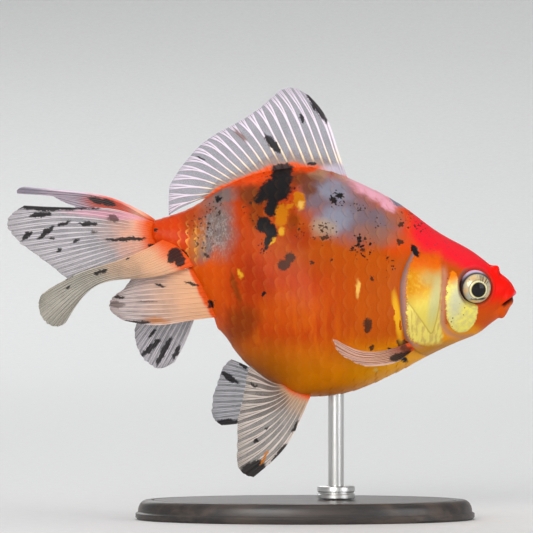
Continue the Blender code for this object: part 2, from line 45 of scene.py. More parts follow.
import bpy
import numpy as np
from bpy.props import FloatProperty, FloatVectorProperty, IntProperty, PointerProperty
from mathutils import Vector

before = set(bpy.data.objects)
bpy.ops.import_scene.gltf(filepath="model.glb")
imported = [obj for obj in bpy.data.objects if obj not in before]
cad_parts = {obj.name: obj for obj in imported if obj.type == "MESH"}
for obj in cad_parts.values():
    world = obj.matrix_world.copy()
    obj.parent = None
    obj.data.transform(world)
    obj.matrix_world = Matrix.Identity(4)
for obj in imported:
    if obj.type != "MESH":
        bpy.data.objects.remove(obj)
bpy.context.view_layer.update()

# The body, in hundredths of the standard length. Each pair is (behind the snout, size there).
BACK_LINE = [
    (0, 0), (0.7, 2.1), (2.4, 4.2), (7.4, 8.4), (13.0, 12.6), (24.3, 19.2), (29.9, 23.5), (41.1, 30.0),
    (47.3, 32.7), (55.1, 34.9), (62.1, 35.4), (69.1, 34.5), (81.8, 30.0), (91.6, 24.3), (101.4, 20.8),
]  # fmt: skip
BELLY_LINE = [
    (0, 0), (0.7, -1.6), (1.8, -4.2), (3.5, -6.9), (5.6, -7.6), (10.2, -11.0), (15.8, -13.5), (29.9, -20.4),
    (41.1, -25.8), (48.1, -28.1), (55.1, -29.0), (60.7, -28.4), (66.3, -26.2), (75.6, -20.0), (84.0, -8.2),
    (91.6, 5.6), (101.4, 13.2),
]  # fmt: skip
HALF_WIDTH = [
    (0, 0), (0.7, 1.9), (2.4, 3.8), (6.0, 5.9), (12.0, 9.2), (18.0, 12.0), (26.0, 14.6), (36.0, 17.4),
    (48.0, 19.6), (58.0, 19.6), (68.0, 17.0), (78.0, 12.6), (88.0, 8.0), (101.4, 3.9),
]  # fmt: skip
WIDEST_HEIGHT = [(0, 0), (12.0, -0.5), (26.0, -3.0), (50.0, -6.5), (66.0, -2.0), (84.0, 9.0), (101.4, 17.0)]
BACK_FULLNESS = [(0, 2.1), (20.0, 2.0), (50.0, 1.75), (80.0, 1.85), (101.4, 2.0)]  # 2 is a half ellipse
BELLY_FULLNESS = [(0, 2.1), (20.0, 1.9), (50.0, 2.15), (80.0, 1.95), (101.4, 2.0)]
TAIL_ROOT_START = 101.4
TAIL_ROOT_END = 103.0

# The fins' rays, from leading to trailing edge, each a few points from root to tip: (behind, left, above).
DORSAL_FIN = [
    [(47.4, 0, 32.5), (50.1, 0, 40.4), (53.4, 0.3, 49.6), (59.0, 0.9, 56.4)],
    [(51.5, 0, 34.5), (54.6, 0, 42.6), (57.6, 0.6, 50.2), (62.4, 1.4, 58.1)],
    [(55.7, 0, 35.1), (59.0, 0.2, 43.8), (62.4, 0.9, 51.6), (66.3, 1.9, 57.1)],
    [(62.7, 0, 35.9), (66.6, 0.3, 44.0), (69.7, 1.0, 50.2), (71.4, 1.8, 52.7)],
    [(69.7, 0, 34.8), (73.9, 0.2, 41.0), (77.6, 0.5, 45.4), (79.5, 0.9, 47.4)],
    [(76.2, 0, 32.5), (81.2, 0, 36.7), (85.7, -0.4, 40.4), (88.8, -0.6, 41.5)],
    [(82.6, 0, 30.0), (87.4, -0.3, 31.7), (91.9, -0.9, 32.5), (96.1, -1.4, 32.5)],
    [(85.1, 0, 28.6), (89.6, -0.4, 28.3), (93.8, -1.0, 28.3), (97.6, -1.6, 28.1)],
    [(87.9, 0, 26.9), (91.6, -0.3, 25.2), (95.0, -0.8, 23.6), (97.8, -1.4, 21.7)],
]
TAIL_UPPER_RIGHT = [
    [(102.8, -1.2, 20.2), (112.6, -4, 23.6), (125.2, -7, 24.1), (139.3, -10, 24.7)],
    [(103.1, -1.5, 18.5), (114.0, -5, 20.8), (128.1, -9, 21.9), (142.2, -13, 20.2)],
    [(103.1, -1.8, 16.8), (114.0, -6, 17.4), (127.5, -11, 16.8), (139.8, -15, 15.4)],
    [(102.8, -2.0, 15.1), (113.5, -6.5, 14.3), (124.7, -12, 12.1), (133.1, -16, 10.1)],
    [(102.5, -2.2, 13.7), (111.8, -6.5, 11.8), (121.3, -11.5, 8.7), (128.1, -15.5, 6.5)],
    [(101.9, -2.4, 12.4), (110.4, -6.6, 9.0), (118.4, -10.6, 5.6), (125.0, -14.2, 3.4)],
]
TAIL_UPPER_LEFT = [
    [(102.2, 1.2, 21.0), (113.9, 6, 26.8), (126.7, 12, 28.9), (141.6, 17, 30.2)],
    [(102.5, 1.5, 19.9), (113.2, 9, 25.3), (125.2, 17, 27.6), (140.8, 23, 28.8)],
    [(102.5, 1.8, 18.5), (112.4, 11, 23.8), (123.4, 20, 26.4), (136.0, 28, 29.0)],
    [(102.5, 2.0, 17.1), (110.7, 12, 21.6), (118.8, 22, 23.6), (126.9, 31, 25.8)],
    [(102.5, 2.2, 15.4), (109.0, 12, 19.1), (115.1, 22, 21.0), (120.8, 32, 23.3)],
    [(102.2, 2.4, 13.7), (107.3, 11, 16.3), (111.8, 20, 18.0), (115.7, 29, 19.4)],
]
TAIL_LOWER_RIGHT = [
    [(99.8, -3.8, 14.0), (110.7, -10.4, 9.4), (121.0, -14.5, 6.2), (131.4, -17, 0.8)],
    [(97.5, -4.9, 12.8), (109.0, -11.6, 7.9), (120.8, -16, 4.2), (133.2, -19, -2.8)],
    [(95.6, -5.5, 11.1), (107.3, -12.2, 6.5), (119.1, -16.6, 3.1), (131.7, -19.5, -7.3)],
    [(93.8, -5.7, 9.1), (105.6, -12, 5.3), (117.7, -16.2, 2.2), (128.6, -18.6, -9.1)],
    [(92.3, -5.2, 7.3), (104.2, -11, 4.4), (117.4, -15, 2.5), (126.4, -17.2, -9.0)],
]
TAIL_LOWER_LEFT = [
    [(99.8, 3.6, 14.4), (107.0, 10, 10.9), (114.6, 16, 8.4), (123.0, 21, 6.5)],
    [(97.8, 4.6, 13.2), (105.1, 12, 9.8), (112.6, 19, 7.6), (121.3, 27, 5.6)],
    [(95.9, 5.3, 11.8), (102.8, 13, 9.0), (109.8, 22, 6.7), (118.0, 31, 4.8)],
    [(94.2, 5.7, 10.1), (100.6, 13, 8.1), (106.7, 22, 6.5), (113.5, 31, 4.8)],
    [(92.6, 5.4, 8.1), (98.0, 12, 7.3), (103.4, 19, 6.5), (108.4, 27, 5.6)],
]
ANAL_FIN_RIGHT = [
    [(84.9, -2.4, -6.5), (93.0, -4, -7.7), (101.4, -6, -8.7), (110.9, -7.5, -7.0)],
    [(86.0, -3.0, -4.2), (95.0, -5, -4.8), (104.2, -7, -5.0), (113.5, -9, -4.8)],
    [(87.7, -3.4, -1.4), (96.4, -5.5, -2.0), (105.1, -7.5, -2.2), (114.0, -9.5, -2.5)],
    [(89.1, -3.8, 1.4), (97.2, -5.5, 1.1), (105.1, -7.5, 0.6), (112.6, -9, -0.6)],
    [(90.2, -4.0, 3.9), (97.2, -5.5, 4.2), (103.9, -7, 3.6), (110.1, -8, 1.4)],
    [(91.6, -3.8, 6.9), (97.2, -5, 7.0), (102.8, -6, 6.3), (107.9, -6.5, 4.2)],
]
ANAL_FIN_LEFT = [
    [(87.1, 2.6, -2.2), (90.2, 5, -6.5), (92.7, 8, -12.6), (96.9, 10.5, -20.5)],
    [(87.9, 3.0, -0.6), (91.9, 6, -5.9), (95.5, 9.5, -12.9), (100.0, 12.5, -21.3)],
    [(88.8, 3.3, 1.1), (93.8, 6.5, -4.2), (98.6, 10, -11.2), (103.6, 13.5, -20.2)],
    [(89.6, 3.6, 2.8), (95.5, 7, -2.2), (101.1, 10.5, -8.7), (106.3, 14, -16.3)],
    [(90.5, 3.8, 4.5), (96.6, 6.5, -0.3), (102.2, 10, -5.3), (107.6, 13, -11.5)],
    [(91.3, 3.7, 5.9), (97.2, 6, 1.7), (102.5, 9, -2.5), (106.7, 11.5, -7.9)],
]
PELVIC_FIN_RIGHT = [
    [(57.9, -4.5, -28.6), (61.3, -8, -36.5), (66.1, -11, -44.0), (75.0, -13, -51.8)],
    [(59.3, -4.8, -28.2), (64.1, -9, -36.5), (70.3, -12.5, -43.5), (77.8, -14.5, -48.5)],
    [(60.7, -5.1, -27.7), (66.1, -10, -34.5), (71.9, -13.5, -39.3), (78.4, -16, -42.6)],
    [(62.1, -5.3, -27.2), (67.2, -10.5, -31.4), (72.5, -14, -33.9), (78.1, -17, -35.9)],
    [(63.5, -5.4, -26.7), (67.8, -10.3, -28.6), (71.9, -14, -29.2), (76.7, -17, -29.2)],
    [(64.8, -5.4, -26.2), (68.3, -9.8, -26.0), (71.9, -13.2, -24.8), (75.9, -16, -23.6)],
    [(66.0, -5.3, -25.8), (68.9, -8.6, -24.4), (71.8, -11.4, -22.2), (74.8, -14, -19.5)],
]
PELVIC_FIN_LEFT = [
    [(59.6, 4.8, -28.4), (67.5, 9, -33.4), (75.9, 13, -36.5), (83.7, 17, -37.6)],
    [(61.0, 5.0, -28.0), (68.9, 10, -31.4), (77.3, 14.5, -33.4), (85.7, 19, -34.5)],
    [(62.4, 5.2, -27.5), (69.7, 10.5, -29.0), (77.6, 15, -29.7), (85.4, 19.5, -30.0)],
    [(63.8, 5.4, -27.0), (70.0, 10.2, -26.9), (77.3, 15, -26.0), (84.3, 19.5, -25.8)],
    [(65.2, 5.5, -26.5), (70.6, 9.6, -24.9), (76.7, 14.2, -22.8), (82.9, 18.5, -21.9)],
    [(66.5, 5.5, -26.0), (70.9, 8.7, -23.6), (75.5, 12.4, -20.6), (80.6, 16.5, -18.5)],
]
PECTORAL_FIN = [
    [(29.9, 12.2, -15.8), (34.0, 19.5, -18.6), (39.5, 27.5, -19.4), (43.2, 32.5, -19.3)],
    [(30.2, 12.5, -15.3), (35.2, 19.6, -17.9), (41.8, 26.8, -18.8), (47.0, 31.5, -18.2)],
    [(30.4, 12.8, -14.8), (36.4, 19.3, -17.1), (43.8, 25.4, -17.9), (50.2, 29.0, -15.6)],
    [(30.7, 13.1, -14.2), (37.2, 18.4, -16.3), (44.7, 23.0, -16.5), (51.9, 25.4, -12.6)],
    [(31.0, 13.3, -13.6), (36.9, 17.3, -15.6), (43.6, 20.3, -15.6), (49.2, 22.0, -13.4)],
]

# Lines of the head seen from the side: (behind, above), from top to bottom or round.
COVER_EDGE = [  # the soft hind edge of the gill cover
    (28.3, 14.2), (30.2, 10.8), (32.0, 7.0), (33.0, 3.2), (33.2, -0.5), (33.0, -4.5), (32.5, -8.5),
    (31.6, -12.0), (29.2, -15.3), (25.5, -17.6), (21.0, -18.5),
]  # fmt: skip
PLATE_EDGE = [  # where its bony plates end
    (27.6, 12.6), (29.2, 10.2), (30.6, 7.2), (31.3, 3.2), (31.4, -1.0), (31.3, -5.0), (31.3, -8.5),
    (30.8, -11.5), (28.6, -13.4), (24.8, -14.6), (20.5, -14.0),
]  # fmt: skip
CHEEK_GROOVE = [
    (20.8, 9.0), (20.6, 5.0), (20.9, 1.0), (21.0, -3.0), (21.1, -7.3), (19.6, -10.6), (16.2, -12.4),
    (12.6, -12.2),
]  # fmt: skip
CHEEK_PLATE = [
    (18.6, 6.6), (19.8, 3.0), (20.4, -2.0), (19.9, -6.6), (18.4, -9.8), (15.6, -11.1), (12.8, -9.6),
    (11.3, -6.4), (11.6, -3.0), (14.5, -1.5), (16.6, 1.5), (17.0, 5.0),
]  # fmt: skip
LOWER_PLATE = [
    (31.2, -2.0), (28.2, -6.0), (25.8, -9.2), (24.2, -11.0), (23.1, -8.5), (22.3, -4.5), (21.6, 0.0),
]  # fmt: skip
LIP_CREASE = [(0.9, 2.0), (2.3, 1.6), (3.6, -0.4), (4.6, -3.0), (4.9, -4.8)]
HEAD_LINES = {
    "cover": COVER_EDGE,
    "plate": PLATE_EDGE,
    "groove": CHEEK_GROOVE,
    "lower": LOWER_PLATE,
    "crease": LIP_CREASE,
}
HEAD_ATTRIBUTES = ("cover", "plate", "groove", "cheek", "lower", "mouth", "eye")  # carried by the skin
COVER_REACH = 22  # points ahead of this lie inside the gill cover, however far from its edge
FAN_HINGE, FAN_LINES = (20.5, 9.5), 95  # where the plate's fine lines meet, and how close together they fan
MOUTH_HEIGHT, MOUTH_FALL = -0.8, 0.65  # the slit's height at the snout, and how fast it falls behind it
MOUTH_CORNER = 3.9
FAR = 99.0

# Nostrils and eyes: (behind, out to the side, above).
NOSTRIL = (6.2, 2.6, 6.6)
EYE = (12.1, 7.6, 1.9)
EYE_FORWARD = math.radians(12)
GAZE_FORWARD, GAZE_DOWN = math.radians(18), math.radians(13)


def tip_of(node):
    """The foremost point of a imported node."""
    return max(bpy.data.objects[node].data.vertices, key=lambda v: v.co.x).co.copy()


SNOUT = tip_of("head")
PERCENT = (SNOUT.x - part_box("tail_root")[0].x) / TAIL_ROOT_END  # a hundredth of the standard length
VIEW_CENTRE, VIEW_WIDTH = (70.1, 7.63), 149.5  # (behind, above) and width of what the camera sees
CAMERA_DISTANCE = 1.2


# ------------------------------ curves and the body's form


def natural_spline(knots, values):
    """A smooth function through the values at the knots, straight beyond its ends."""
    knots = np.asarray(knots, float)
    values = np.asarray(values, float)
    gaps = np.diff(knots).reshape(-1, *[1] * (values.ndim - 1))
    slopes = np.diff(values, axis=0) / gaps
    bend = np.zeros_like(values)
    if len(knots) > 2:
        flat_gaps = gaps.reshape(-1)
        system = np.diag(2 * (flat_gaps[:-1] + flat_gaps[1:]))
        system += np.diag(flat_gaps[1:-1], 1) + np.diag(flat_gaps[1:-1], -1)
        right_side = 6 * np.diff(slopes, axis=0)
        bend[1:-1] = np.linalg.solve(system, right_side.reshape(len(system), -1)).reshape(right_side.shape)

    def at(places):
        places = np.asarray(places, float)
        flat = np.atleast_1d(places).ravel()
        span = np.clip(np.searchsorted(knots, flat, side="right") - 1, 0, len(knots) - 2)
        column = (-1, *[1] * (values.ndim - 1))
        inside = np.clip(flat, knots[0], knots[-1])
        beyond = (flat - inside).reshape(column)
        step = (inside - knots[span]).reshape(column)
        gap = gaps[span]
        low, high = bend[span], bend[span + 1]
        slope = slopes[span] - gap * (2 * low + high) / 6
        cubic = (high - low) / (6 * gap)
        slope_here = slope + low * step + 3 * cubic * step**2
        result = values[span] + slope * step + low / 2 * step**2 + cubic * step**3 + slope_here * beyond
        return result.reshape(*places.shape, *values.shape[1:])

    return at


def along_body(pairs):
    """A size as a function of the distance behind the snout, smooth in its square root."""
    places, sizes = zip(*pairs)
    curve = natural_spline(np.sqrt(places), sizes)
    return lambda behind: curve(np.sqrt(np.maximum(behind, 0.0)))


back_line = along_body(BACK_LINE)
belly_line = along_body(BELLY_LINE)
half_width = along_body(HALF_WIDTH)
widest_height = along_body(WIDEST_HEIGHT)
back_fullness = along_body(BACK_FULLNESS)
belly_fullness = along_body(BELLY_FULLNESS)


def blend(low, high, value):
    """0 at low, 1 at high and smooth between them."""
    share = np.clip((value - low) / (high - low), 0, 1)
    return share * share * (3 - 2 * share)


def hump(distance, width):
    """1 at no distance, falling to a third at the width."""
    return np.exp(-((distance / width) ** 2))


def signed_power(value, exponent):
    return np.sign(value) * np.abs(value) ** exponent


def body_point(behind, angle):
    """Points of the body form. angle runs from the belly at -90 degrees by the left side to the back, 90."""
    top, bottom = back_line(behind), belly_line(behind)
    wide_at = widest_height(behind)
    upper = np.sin(angle) >= 0
    power = 2 / np.where(upper, back_fullness(behind), belly_fullness(behind))
    height = np.where(upper, top - wide_at, wide_at - bottom)
    beyond = np.clip((behind - TAIL_ROOT_START) / (TAIL_ROOT_END - TAIL_ROOT_START), 0, 1)
    shrink = np.sqrt(1 - beyond**2.2)  # closes the tail root behind
    middle = (top + bottom) / 2
    left = half_width(behind) * signed_power(np.cos(angle), power) * shrink
    above = wide_at + height * signed_power(np.sin(angle), power)
    return np.stack([behind + 0 * angle, left, middle + (above - middle) * shrink], axis=-1)


class RingTable:
    """Turns an even share of the way round a ring, from belly over left side and back, into its angle."""

    STATIONS, ANGLES, SHARES = 140, 721, 361
    FIRST = 0.02  # the first ring, by the root of its share of the length; at 0 a ring is a point
    INSIDE_END = 0.9995  # keeps the last ring off the point that the tail root closes in

    def __init__(self):
        self.roots = np.linspace(self.FIRST, 1, self.STATIONS)
        behind = TAIL_ROOT_END * self.roots**2 * self.INSIDE_END
        angle = np.linspace(-0.5 * math.pi, 1.5 * math.pi, self.ANGLES)
        points = body_point(behind[:, None], angle[None, :])
        steps = np.linalg.norm(np.diff(points, axis=1), axis=2)
        walked = np.concatenate([np.zeros((self.STATIONS, 1)), np.cumsum(steps, axis=1)], axis=1)
        self.length = walked[:, -1].copy()
        walked /= self.length[:, None]
        even = np.linspace(0, 1, self.SHARES)
        self.angle = np.array([np.interp(even, row, angle) for row in walked])
        self.side_share = np.array([np.interp(0.0, angle, row) for row in walked])

    def _root(self, behind):
        return np.sqrt(np.clip(behind, 0, TAIL_ROOT_END) / TAIL_ROOT_END)

    def angle_at(self, behind, share):
        row = np.clip((self._root(behind) - self.FIRST) / (1 - self.FIRST), 0, 1) * (self.STATIONS - 1)
        column = np.clip(share, 0, 1) * (self.SHARES - 1)
        r = np.minimum(row.astype(int), self.STATIONS - 2)
        c = np.minimum(column.astype(int), self.SHARES - 2)
        past_row, past_column = row - r, column - c
        low = self.angle[r, c] * (1 - past_column) + self.angle[r, c + 1] * past_column
        high = self.angle[r + 1, c] * (1 - past_column) + self.angle[r + 1, c + 1] * past_column
        return low * (1 - past_row) + high * past_row

    def girth(self, behind):
        return np.interp(self._root(behind), self.roots, self.length)

    def widest_share(self, behind):
        return np.interp(self._root(behind), self.roots, self.side_share)


rings = RingTable()


def surface(behind, share):
    """Points of the body form, by distance behind the snout and share of the way round."""
    behind, share = np.broadcast_arrays(np.asarray(behind, float), np.asarray(share, float))
    return body_point(behind, rings.angle_at(behind, share))


def in_metres(points):
    """Turns points of (behind, left, above) into places of the model."""
    behind, left, above = np.moveaxis(np.asarray(points, float), -1, 0)
    return np.stack([SNOUT.x - behind * PERCENT, left * PERCENT, SNOUT.z + above * PERCENT], axis=-1)


def in_hundredths(places):
    x, y, z = np.moveaxis(np.asarray(places, float), -1, 0)
    return np.stack([(SNOUT.x - x) / PERCENT, y / PERCENT, (z - SNOUT.z) / PERCENT], axis=-1)


def smooth_line(corners, closed=False, count=48):
    """Points along a smooth line through the corners. A closed one repeats two corners at either end."""
    rows = np.array([*corners[-2:], *corners, *corners[:3]] if closed else corners, float)
    spare = 2 if closed else 0
    return natural_spline(range(len(rows)), rows)(np.linspace(spare, len(rows) - 1 - spare, count))


def beside_line(behind, above, corners, closed=False, reach=14.0):
    """Distance from a smooth line seen from the side, and the share of its length there. The distance is
    positive ahead of a line that runs down, which is also inside an outline that runs round that way."""
    line = smooth_line(corners, closed)
    low, high = line.min(axis=0) - reach, line.max(axis=0) + reach
    near = (behind > low[0]) & (behind < high[0]) & (above > low[1]) & (above < high[1])
    distance, share = np.full(behind.shape, -FAR), np.zeros(behind.shape)
    points = np.stack([behind[near], above[near]], axis=-1)[:, None]
    start, step = line[:-1], np.diff(line, axis=0)
    along = np.clip(((points - start) * step).sum(axis=2) / (step**2).sum(axis=1), 0, 1)
    gap = points - (start + along[..., None] * step)
    size = np.linalg.norm(gap, axis=2)
    best = size.argmin(axis=1)
    rows = np.arange(len(best))
    turn = step[best, 1] * gap[rows, best, 0] - step[best, 0] * gap[rows, best, 1]
    distance[near] = size[rows, best] * np.where(turn > 0, 1, -1)
    share[near] = (best + along[rows, best]) / len(step)
    return distance, share


# ------------------------------ the head's and trunk's relief


def from_eye(behind, left, above):
    """Distance from the line that the eye's middle looks along, on the side that the point is on."""
    axis = np.array([-math.sin(EYE_FORWARD), math.cos(EYE_FORWARD), 0])
    offset = np.stack([behind, np.abs(left), above], axis=-1) - np.array(EYE)
    along = offset @ axis
    return np.where(np.abs(left) > 2, np.linalg.norm(offset - along[..., None] * axis, axis=-1), FAR)


def head_lines(behind, left, above):
    """Distances from the head's lines, which shape the skin and, as attributes, paint it."""
    found = {name: beside_line(behind, above, corners) for name, corners in HEAD_LINES.items()}
    lines = {name: distance for name, (distance, _) in found.items()}
    lines["cover_share"] = found["cover"][1]
    lines["cheek"], _ = beside_line(behind, above, CHEEK_PLATE, closed=True)
    for name in ("cover", "plate"):
        out_of_reach = (lines[name] <= -FAR) & (behind < COVER_REACH)
        lines[name] = np.where(out_of_reach, FAR, lines[name])
    lines["mouth"] = (above - MOUTH_HEIGHT + MOUTH_FALL * behind) / math.hypot(1, MOUTH_FALL)
    lines["eye"] = from_eye(behind, left, above)
    return lines


def mouth_relief(behind, out, above, lines):
    """The lips with the slit between them, the crease behind them, the blunt snout and the chin's fold."""
    lips = 1 - blend(MOUTH_CORNER - 0.7, MOUTH_CORNER + 0.6, behind)
    slit = lines["mouth"]
    depth = 0.4 + 0.6 * blend(0.2, 1.8, out)
    upper, lower = 0.22 * hump(slit - 1.0, 0.65), 0.34 * hump(slit + 0.85, 0.6)
    rise = lips * (upper + lower - depth * hump(slit, 0.32))
    rise -= 0.12 * hump(lines["crease"], 0.60) * blend(0.6, 2.2, out)
    rise += 0.25 * hump(behind - 2.6, 2.0) * hump(above - 3.0, 2.2)
    chin = hump(behind - 4.9, 0.7) * blend(0.0, -6.5, above)
    return rise - 0.30 * chin * (1 - blend(5.0, 9.0, out))


def nostril_relief(behind, out, above):
    """The mound of the nostril's flap and the pit on either side of it."""
    hind, aside, high = NOSTRIL
    from_mound = np.sqrt((behind - hind) ** 2 + (out - aside) ** 2 + (above - high) ** 2)
    rise = 1.5 * hump(from_mound, 1.4)
    for shift, depth in ((-1.6, 0.40), (1.5, 0.35)):
        from_pit = np.sqrt((behind - hind - shift) ** 2 + (out - aside - 0.3) ** 2)
        rise -= depth * hump(from_pit, 0.55) * (above > 3)
    return rise


def eye_relief(eye):
    """The lid's rim, the brow round it, and the socket that the globe sits in."""
    lid = 0.42 * hump(eye - 5.45, 0.50)
    brow = 0.33 * hump(eye - 6.2, 2.4) * (eye > 5.2)
    return lid + brow - 3.0 * (1 - blend(3.9, 4.95, eye))


def cover_relief(behind, above, lines, ends):
    """The gill cover's plates, the groove before them, the cheek, and the fine lines fanned on the plate."""
    cover, plate, cheek = lines["cover"], lines["plate"], lines["cheek"]
    rise = 0.42 * ends * blend(-0.12, 0.16, cover) * (1 - blend(1.5, 9.0, cover))
    rise += 0.20 * ends * blend(-0.12, 0.16, plate) * (1 - blend(1.0, 6.0, plate))
    rise += 0.35 * hump(behind - 26.0, 5.2) * hump(above + 1.5, 7.5)
    rise -= 0.26 * hump(lines["groove"], 0.6)
    rise += 0.22 * blend(-0.15, 0.35, cheek) * (1 - blend(1.5, 5.0, cheek))
    rise -= 0.13 * hump(lines["lower"], 0.22)
    hinge_behind, hinge_above = behind - FAN_HINGE[0], above - FAN_HINGE[1]
    on_plate = blend(0.0, 0.8, plate) * blend(0.8, 2.0, hinge_behind) * (1 - blend(10.5, 12.5, hinge_behind))
    fan = np.sin(np.arctan2(hinge_above, hinge_behind) * FAN_LINES)
    return rise + 0.025 * on_plate * fan * blend(3.0, 7.0, np.hypot(hinge_above, hinge_behind))


def trunk_relief(behind, left, above, flank):
    """Shoulder, hips, vent, the ridge under the dorsal fin, and a faint sway of the flanks."""
    middle = hump(left, 1.1)
    rise = 0.9 * hump(behind - 31.2, 2.6) * hump(above + 14.8, 1.7) * flank
    rise += 0.7 * hump(behind - 62.0, 4.5) * hump(above + 26.8, 1.8)
    rise += 0.9 * hump(behind - 83.2, 1.5) * hump(above + 9.0, 2.0) * hump(left, 2.2)
    rise += 0.45 * blend(46, 52, behind) * (1 - blend(85, 89, behind)) * middle * (above > 15)
    sway = np.sin(behind * 0.31 + above * 0.17) * np.sin(behind * 0.13 - above * 0.29 + left * 0.2)
    return rise + 0.10 * sway * blend(12, 40, behind) * (1 - blend(92, 100, behind))


def relief(points, lines, with_cover=True):
    """How far the skin stands above the plain body form, in hundredths."""
    behind, left, above = np.moveaxis(points, -1, 0)
    out = np.abs(left)
    flank = blend(0.25, 0.6, out / np.maximum(half_width(behind), 0.5))
    ends = blend(0.0, 0.06, lines["cover_share"])
    rise = mouth_relief(behind, out, above, lines) + nostril_relief(behind, out, above)
    rise += eye_relief(lines["eye"]) + trunk_relief(behind, left, above, flank)
    if with_cover:
        rise += flank * cover_relief(behind, above, lines, ends)
    cover = lines["cover"]
    gap_behind = hump(np.minimum(cover + 0.3, 0), 1.5) * (1 - blend(-0.12, 0.16, cover))
    return rise - 0.30 * ends * flank * gap_behind


# ------------------------------ colours

BLACK = (0.010, 0.008, 0.009)
COLOURS = {
    # markings
    "black": BLACK,
    "sooty": (0.045, 0.018, 0.010),
    "brown": (0.13, 0.030, 0.006),
    "tan": (0.32, 0.11, 0.045),
    "slate": (0.17, 0.19, 0.26),
    "lilac grey": (0.150, 0.125, 0.155),
    "pale lilac": (0.50, 0.45, 0.54),
    "blue white": (0.23, 0.24, 0.31),
    "sand": (0.40, 0.27, 0.16),
    "pink": (0.78, 0.38, 0.48),
    "ridge orange": (0.78, 0.060, 0.001),
    "rust": (0.30, 0.045, 0.006),
    "deep orange": (0.34, 0.024, 0.0005),
    "flame": (0.62, 0.115, 0.0005),
    "umber": (0.20, 0.032, 0.0005),
    "amber": (0.52, 0.155, 0.001),
    "pale amber": (0.76, 0.44, 0.09),
    "yellow": (0.74, 0.40, 0.015),
    "silver grey": (0.155, 0.130, 0.125),
    # the body's ground, beside the colours of the settings
    "flank shade": (0.40, 0.070, 0.0005),
    "hind orange": (0.66, 0.084, 0.0005),
    "hind belly": (0.22, 0.042, 0.0003),
    "front belly": (0.94, 0.40, 0.0005),
    "shoulder orange": (0.66, 0.060, 0.001),
    "tail orange": (0.60, 0.044, 0.002),
    "pale thread": (0.50, 0.46, 0.44),
    "scale shade": (0.62, 0.52, 0.50),
    "scale rim": (0.80, 0.36, 0.06),
    # face and throat
    "face orange": (0.64, 0.040, 0.0004),
    "low face": (0.56, 0.085, 0.0005),
    "snout red": (0.84, 0.006, 0.001),
    "throat gold": (0.80, 0.29, 0.001),
    "throat ochre": (0.56, 0.22, 0.001),
    # gill cover
    "deep gold": (0.64, 0.24, 0.003),
    "gold": (0.68, 0.38, 0.03),
    "lemon gold": (0.74, 0.60, 0.11),
    "dull gold": (0.52, 0.38, 0.13),
    "green gold": (0.50, 0.50, 0.26),
    "straw": (0.80, 0.66, 0.14),
    "dark straw": (0.62, 0.46, 0.12),
    "plate seam": (0.40, 0.24, 0.05),
    "cover orange": (0.72, 0.11, 0.001),
    "plate rim": (0.36, 0.17, 0.04),
    "edge shade": (0.22, 0.11, 0.09),
    "edge mauve": (0.42, 0.20, 0.155),
    "crescent gold": (0.80, 0.42, 0.012),
    # cheek
    "groove brown": (0.48, 0.22, 0.13),
    "cheek straw": (0.74, 0.64, 0.20),
    "cheek lemon": (0.88, 0.78, 0.15),
    "cheek orange": (0.78, 0.20, 0.002),
    "cheek silver": (0.56, 0.56, 0.42),
    "red freckle": (0.32, 0.03, 0.05),
    "brown freckle": (0.10, 0.05, 0.03),
    # mouth, nostrils and lids
    "jaw orange": (0.70, 0.085, 0.002),
    "lip pink": (0.70, 0.32, 0.46),
    "mouth dark": (0.035, 0.006, 0.004),
    "lid shade": (0.12, 0.070, 0.062),
    "lid brown": (0.24, 0.060, 0.025),
    "nostril dark": (0.10, 0.008, 0.006),
    # eyes
    "iris brown": (0.20, 0.13, 0.07),
    "iris gold": (0.78, 0.50, 0.20),
    "iris green": (0.46, 0.52, 0.50),
    "iris streak": (0.03, 0.02, 0.022),
    "eye lilac": (0.70, 0.58, 0.78),
    # stand
    "stained wood": (0.014, 0.011, 0.010),
    "warm grain": (0.060, 0.040, 0.030),
    "wood pore": (0.008, 0.006, 0.006),
    "steel": (0.52, 0.52, 0.51),
    "bright steel": (0.66, 0.66, 0.65),
}
# The iris from its middle outwards: (share of the radius, colour).
IRIS_STOPS = [
    (0.0, BLACK), (0.375, BLACK), (0.392, (0.46, 0.40, 0.16)), (0.43, (0.80, 0.73, 0.44)),
    (0.475, (0.70, 0.62, 0.34)), (0.50, (0.24, 0.20, 0.14)), (0.53, (0.52, 0.47, 0.34)),
    (0.70, (0.62, 0.53, 0.32)), (0.745, (0.34, 0.29, 0.22)), (0.77, (0.035, 0.028, 0.028)),
    (0.86, (0.055, 0.048, 0.055)), (0.97, (0.12, 0.10, 0.12)),
]  # fmt: skip


# ------------------------------ shader sums


class Wire:
    """A number in a material. Arithmetic on it adds Math nodes."""

    def __init__(self, paint, socket):
        self.paint, self.socket = paint, socket

    def sum(self, operation, *others):
        return self.paint.sum(operation, self, *others)

    def __add__(self, other):
        return self.sum("ADD", other)

    def __sub__(self, other):
        return self.sum("SUBTRACT", other)

    def __mul__(self, other):
        return self.sum("MULTIPLY", other)

    def __truediv__(self, other):
        return self.sum("DIVIDE", other)

    def __rsub__(self, other):
        return self.paint.sum("SUBTRACT", other, self)

    __radd__, __rmul__ = __add__, __mul__

    def size(self):
        return self.sum("ABSOLUTE")

    def fraction(self):
        return self.sum("FRACT")

    def or_more(self, other):
        return self.sum("MAXIMUM", other)

    def or_less(self, other):
        return self.sum("MINIMUM", other)

    def blend(self, low, high):
        """0 at low, 1 at high and smooth between them."""
        settings = {"interpolation_type": "SMOOTHSTEP", "clamp": False}
        return self.paint.node("ShaderNodeMapRange", settings, {0: self, 1: low, 2: high})

    def hump(self, width):
        """1 where this is 0, falling smoothly to 0 at the width either side."""
        return self.size().blend(width, 0)


